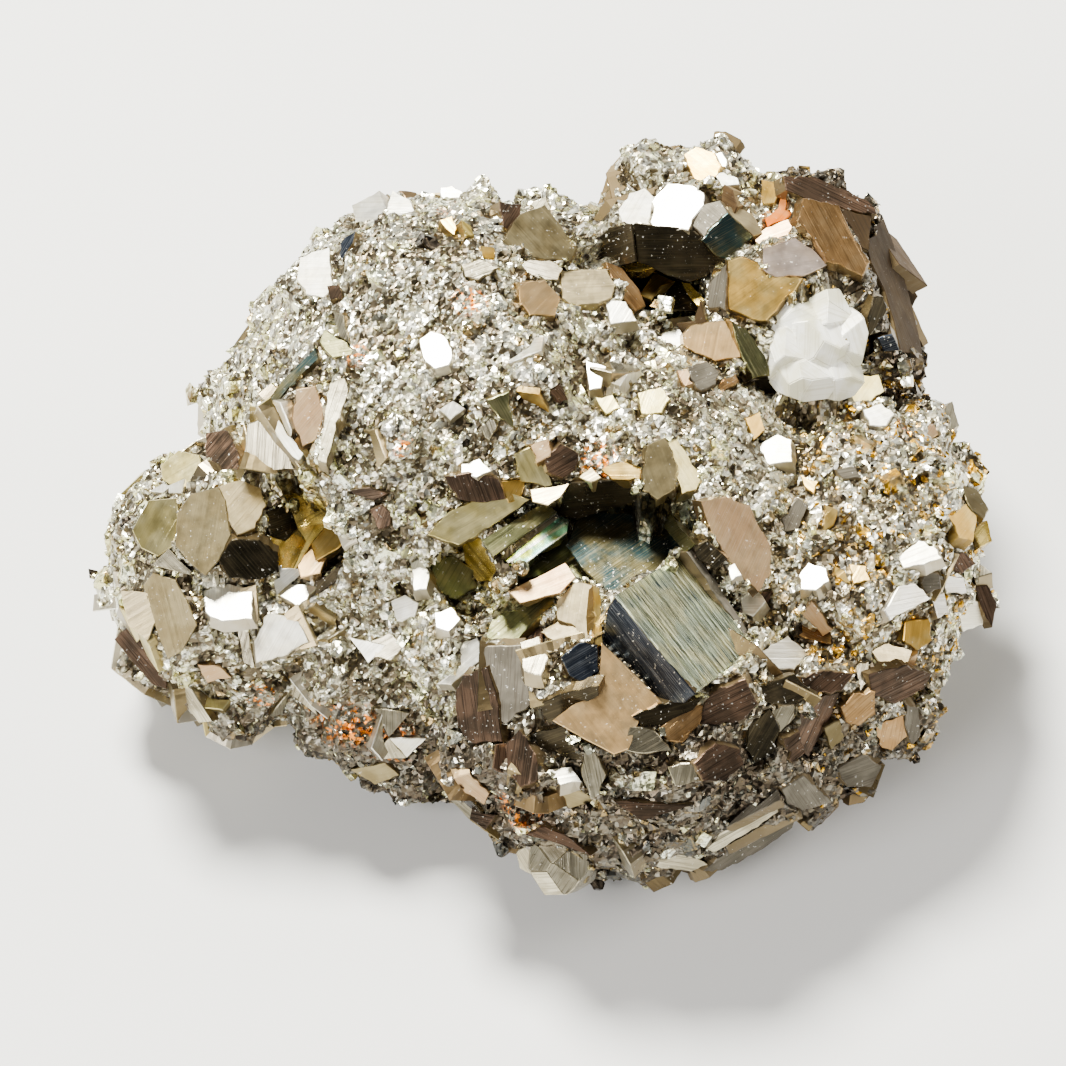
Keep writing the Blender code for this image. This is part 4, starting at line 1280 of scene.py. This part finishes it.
def random_number(tree, entry, low, high, draw, kind="FLOAT"):
    """A random value for each grain; each draw has its own number."""
    made = tree.nodes.new("FunctionNodeRandomValue")
    made.data_type = kind
    places = {"FLOAT_VECTOR": (0, 1, 0), "FLOAT": (2, 3, 1), "INT": (4, 5, 2)}[kind]
    made.inputs[places[0]].default_value = low
    made.inputs[places[1]].default_value = high
    tree.links.new(math_node(tree, "ADD", entry.outputs["Seed"], draw), made.inputs["Seed"])
    return made.outputs[places[2]]


def carrying(tree, points, name, kind, value):
    """Points that carry a value under a name."""
    settings = {"data_type": kind, "domain": "POINT"}
    sockets = {"Geometry": points, "Name": name, "Value": value}
    return add_node(tree, "GeometryNodeStoreNamedAttribute", settings, sockets).outputs[0]


# Each grade: from how free a place on it starts to grow, and where it grows freely; its smallest
# size as a share of its largest; and how deep a grain sits, as a share of its size
GRADE_ROOM = ((0.8, 0.95), (0.45, 0.6), (0.05, 0.3))
GRADE_SMALLEST = (0.5, 0.4, 0.4)
GRADE_SINK = (0.38, 0.33, 0.26)

# Grains: the most in a square millimetre before they are spaced, how much the small ones outnumber
# the large, and how much narrower and wider they come
DENSEST = 60.0
SMALL_ONES = 1.7
NARROWEST = 0.65
WIDEST = 1.25


def grow_grade(tree, entry, picked, grade, number):
    """One grade of grains, spaced over the surface and turned at random."""
    draw = 10 * number
    room = add_node(tree, "GeometryNodeInputNamedAttribute", {"data_type": "FLOAT"}, {"Name": "free"})
    low, high = GRADE_ROOM[number]
    sockets = {"Value": room.outputs[0], "From Min": low, "From Max": high}
    free = add_node(tree, "ShaderNodeMapRange", {}, sockets)
    spread = add_node(
        tree, "GeometryNodeDistributePointsOnFaces", {"distribute_method": "POISSON"},
        {"Mesh": entry.outputs["Geometry"], "Distance Min": entry.outputs[f"{grade} Spacing"],
         "Density Max": DENSEST, "Density Factor": free.outputs[0],
         "Seed": math_node(tree, "ADD", entry.outputs["Seed"], draw)},
    )
    share = math_node(tree, "POWER", random_number(tree, entry, 0.0, 1.0, draw + 1), SMALL_ONES)
    sockets = {"Value": share, "To Min": GRADE_SMALLEST[number], "To Max": 1.0}
    share = add_node(tree, "ShaderNodeMapRange", {}, sockets).outputs[0]
    size = math_node(tree, "MULTIPLY", share, entry.outputs[f"{grade} Size"])
    tone = random_number(tree, entry, 0.0, 1.0, draw + 2)
    points = carrying(tree, spread.outputs["Points"], "tone", "FLOAT", tone)
    way = random_number(tree, entry, (-1, -1, -1), (1, 1, 1), draw + 3, "FLOAT_VECTOR")
    way = add_node(tree, "ShaderNodeVectorMath", {"operation": "NORMALIZE"}, {0: way})
    points = carrying(tree, points, "comb", "FLOAT_VECTOR", way.outputs[0])
    sink = math_node(tree, "MULTIPLY", size, -GRADE_SINK[number])
    sockets = {0: spread.outputs["Normal"], "Scale": sink}
    offset = add_node(tree, "ShaderNodeVectorMath", {"operation": "SCALE"}, sockets)
    sockets = {"Geometry": points, "Offset": offset.outputs[0]}
    placed = add_node(tree, "GeometryNodeSetPosition", {}, sockets)
    shape = random_number(tree, entry, (NARROWEST,) * 3, (WIDEST,) * 3, draw + 4, "FLOAT_VECTOR")
    scale = add_node(tree, "ShaderNodeVectorMath", {"operation": "SCALE"}, {0: shape, "Scale": size})
    full_turn = 2 * math.pi
    turn = random_number(tree, entry, (0, 0, 0), (full_turn,) * 3, draw + 5, "FLOAT_VECTOR")
    return add_node(
        tree, "GeometryNodeInstanceOnPoints", {},
        {"Points": placed.outputs[0], "Instance": picked.outputs[0], "Pick Instance": True,
         "Instance Index": random_number(tree, entry, 0, 7, draw + 6, "INT"), "Rotation": turn,
         "Scale": scale.outputs[0]},
    )


def zone_of(places):
    """Which zone of ore each place belongs to."""
    reach = [
        (((places - np.array(zone.middle)) / np.array(zone.radii)) ** 2).sum(1)
        for zone in ZONES.values()
    ]
    return np.argmin(reach, axis=0)


def zone_surface(ore, number, zones):
    """The part of the ore's surface in one zone, as a mesh that carries its freedom."""
    mesh = bmesh.new()
    mesh.from_mesh(ore)
    mesh.faces.ensure_lookup_table()
    away = [face for face, zone in zip(mesh.faces, zones) if zone != number]
    bmesh.ops.delete(mesh, geom=away, context="FACES")
    data = bpy.data.meshes.new("zone")
    mesh.to_mesh(data)
    mesh.free()
    return data


def set_input(modifier, name, value):
    """Sets a geometry nodes input by its socket's identifier."""
    for item in modifier.node_group.interface.items_tree:
        if item.item_type == "SOCKET" and item.in_out == "INPUT" and item.name == name:
            modifier[item.identifier] = value


def zone_grains(name, zone, surface, tree):
    """The grains of one zone, as one mesh."""
    emitter = scene_object("emitter", surface)
    modifier = emitter.modifiers.new("grains", "NODES")
    modifier.node_group = tree
    for grade, (spacing, size) in zip(GRADES, (zone.coarse, zone.medium, zone.fine)):
        set_input(modifier, f"{grade} Spacing", spacing)
        set_input(modifier, f"{grade} Size", size)
    set_input(modifier, "Seed", zone.seed)
    data = evaluated_mesh(emitter, name)
    bpy.data.objects.remove(emitter)
    return data


def build():
    """Makes every piece and puts it on the frame."""
    chance = random.Random(5)
    mesh = solid_in_millimetres()
    surface = BVHTree.FromBMesh(mesh)
    solid = bpy.data.meshes.new("solid")
    mesh.to_mesh(solid)
    spots = [(seen_point(surface, seen)[0], reach) for seen, reach in RUST_SPOTS]
    hollows = [(seen_point(surface, seen)[0] + TO_EYE * up, reach) for seen, up, reach in HOLLOWS]
    front = front_faces(surface, chance)
    outlined = [face for faces in front.values() for face in faces]
    others = solid_faces(mesh, outlined, hollows, chance)
    mesh.free()
    every = outlined + [face for faces in others.values() for face in faces]
    ore = ore_mesh(solid, every, hollows)
    shapes = grain_shapes()
    tree = grain_tree(shapes, ore_material(spots, hollows))
    middles = np.empty(len(ore.polygons) * 3, np.float32)
    ore.polygons.foreach_get("center", middles)
    zones = zone_of(middles.reshape(-1, 3))
    pieces = []
    for number, (name, zone) in enumerate(ZONES.items()):
        data = zone_grains(name, zone, zone_surface(ore, number, zones), tree)
        pieces.append(scene_object(name, data))
    for obj in list(shapes.objects):
        bpy.data.objects.remove(obj)
    bpy.data.collections.remove(shapes)
    ore.materials.append(base_material(spots, hollows))
    base = scene_object("ore", ore)
    pieces.append(base)
    finishes = {name: crystal_material(name, finish) for name, finish in FINISHES.items()}
    for name, faces in front.items():
        pieces.append(crystal_piece(name, faces, finishes, chance))
    for name, faces in others.items():
        if faces:
            pieces.append(crystal_piece(name.replace("ore", "crystals"), faces, finishes, chance))
    for piece in pieces:
        piece.data.transform(Matrix.Scale(MM, 4))
        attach(piece, "root")
    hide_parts(NODE)


# The softboxes: name, place and width in millimetres, power in watts, and colour
SOFTBOXES = (
    ("key", (-110, 180, 380), 130, 11.0, (1.0, 0.985, 0.90)),
    ("fill", (-200, -260, 260), 240, 2.4, (1.0, 0.98, 0.95)),
    ("side", (330, 40, 200), 160, 1.2, (1.0, 0.96, 0.9)),
)
FLOOR_WIDTH = 3000
FLOOR_COLOUR = (0.62, 0.62, 0.61, 1)
ROOM_COLOUR = (0.17, 0.17, 0.168, 1)


def area_light(name, place, width, power, colour):
    """A softbox that points at the specimen."""
    data = bpy.data.lights.new(name, "AREA")
    data.shape = "DISK"
    data.size = width * MM
    data.energy = power
    data.color = colour
    light = scene_object(name, data)
    light.location = Vector(place) * MM
    light.rotation_euler = (Vector(place) - FRONT_MIDDLE).to_track_quat("Z", "Y").to_euler()


def studio():
    """A pale floor, soft lights and the camera."""
    bpy.ops.mesh.primitive_plane_add(size=FLOOR_WIDTH * MM)
    floor = bpy.context.object
    floor.name = "floor"
    material = bpy.data.materials.new("pale_floor")
    material.use_nodes = True
    shader = material.node_tree.nodes["Principled BSDF"]
    shader.inputs["Base Color"].default_value = FLOOR_COLOUR
    shader.inputs["Roughness"].default_value = 0.8
    floor.data.materials.append(material)
    for softbox in SOFTBOXES:
        area_light(*softbox)
    world = bpy.data.worlds.new("studio")
    bpy.context.scene.world = world
    world.use_nodes = True
    world.node_tree.nodes["Background"].inputs["Color"].default_value = ROOM_COLOUR
    camera = scene_object("camera", bpy.data.cameras.new("camera"))
    camera.data.sensor_width = SENSOR_WIDTH
    camera.data.lens = SENSOR_WIDTH * CAMERA_DISTANCE / (FRAME_PIXELS * PIXEL)
    camera.data.clip_start = 0.01
    camera.data.clip_end = 10.0
    half = FRAME_PIXELS / 2
    aim = FRONT_MIDDLE + RIGHT * (half - MIDDLE_PIXEL[0]) * PIXEL + UP * (MIDDLE_PIXEL[1] - half) * PIXEL
    turn = Matrix((RIGHT, UP, TO_EYE)).transposed().to_4x4()
    camera.matrix_world = Matrix.Translation((aim + TO_EYE * CAMERA_DISTANCE) * MM) @ turn
    bpy.context.scene.camera = camera


build()
studio()
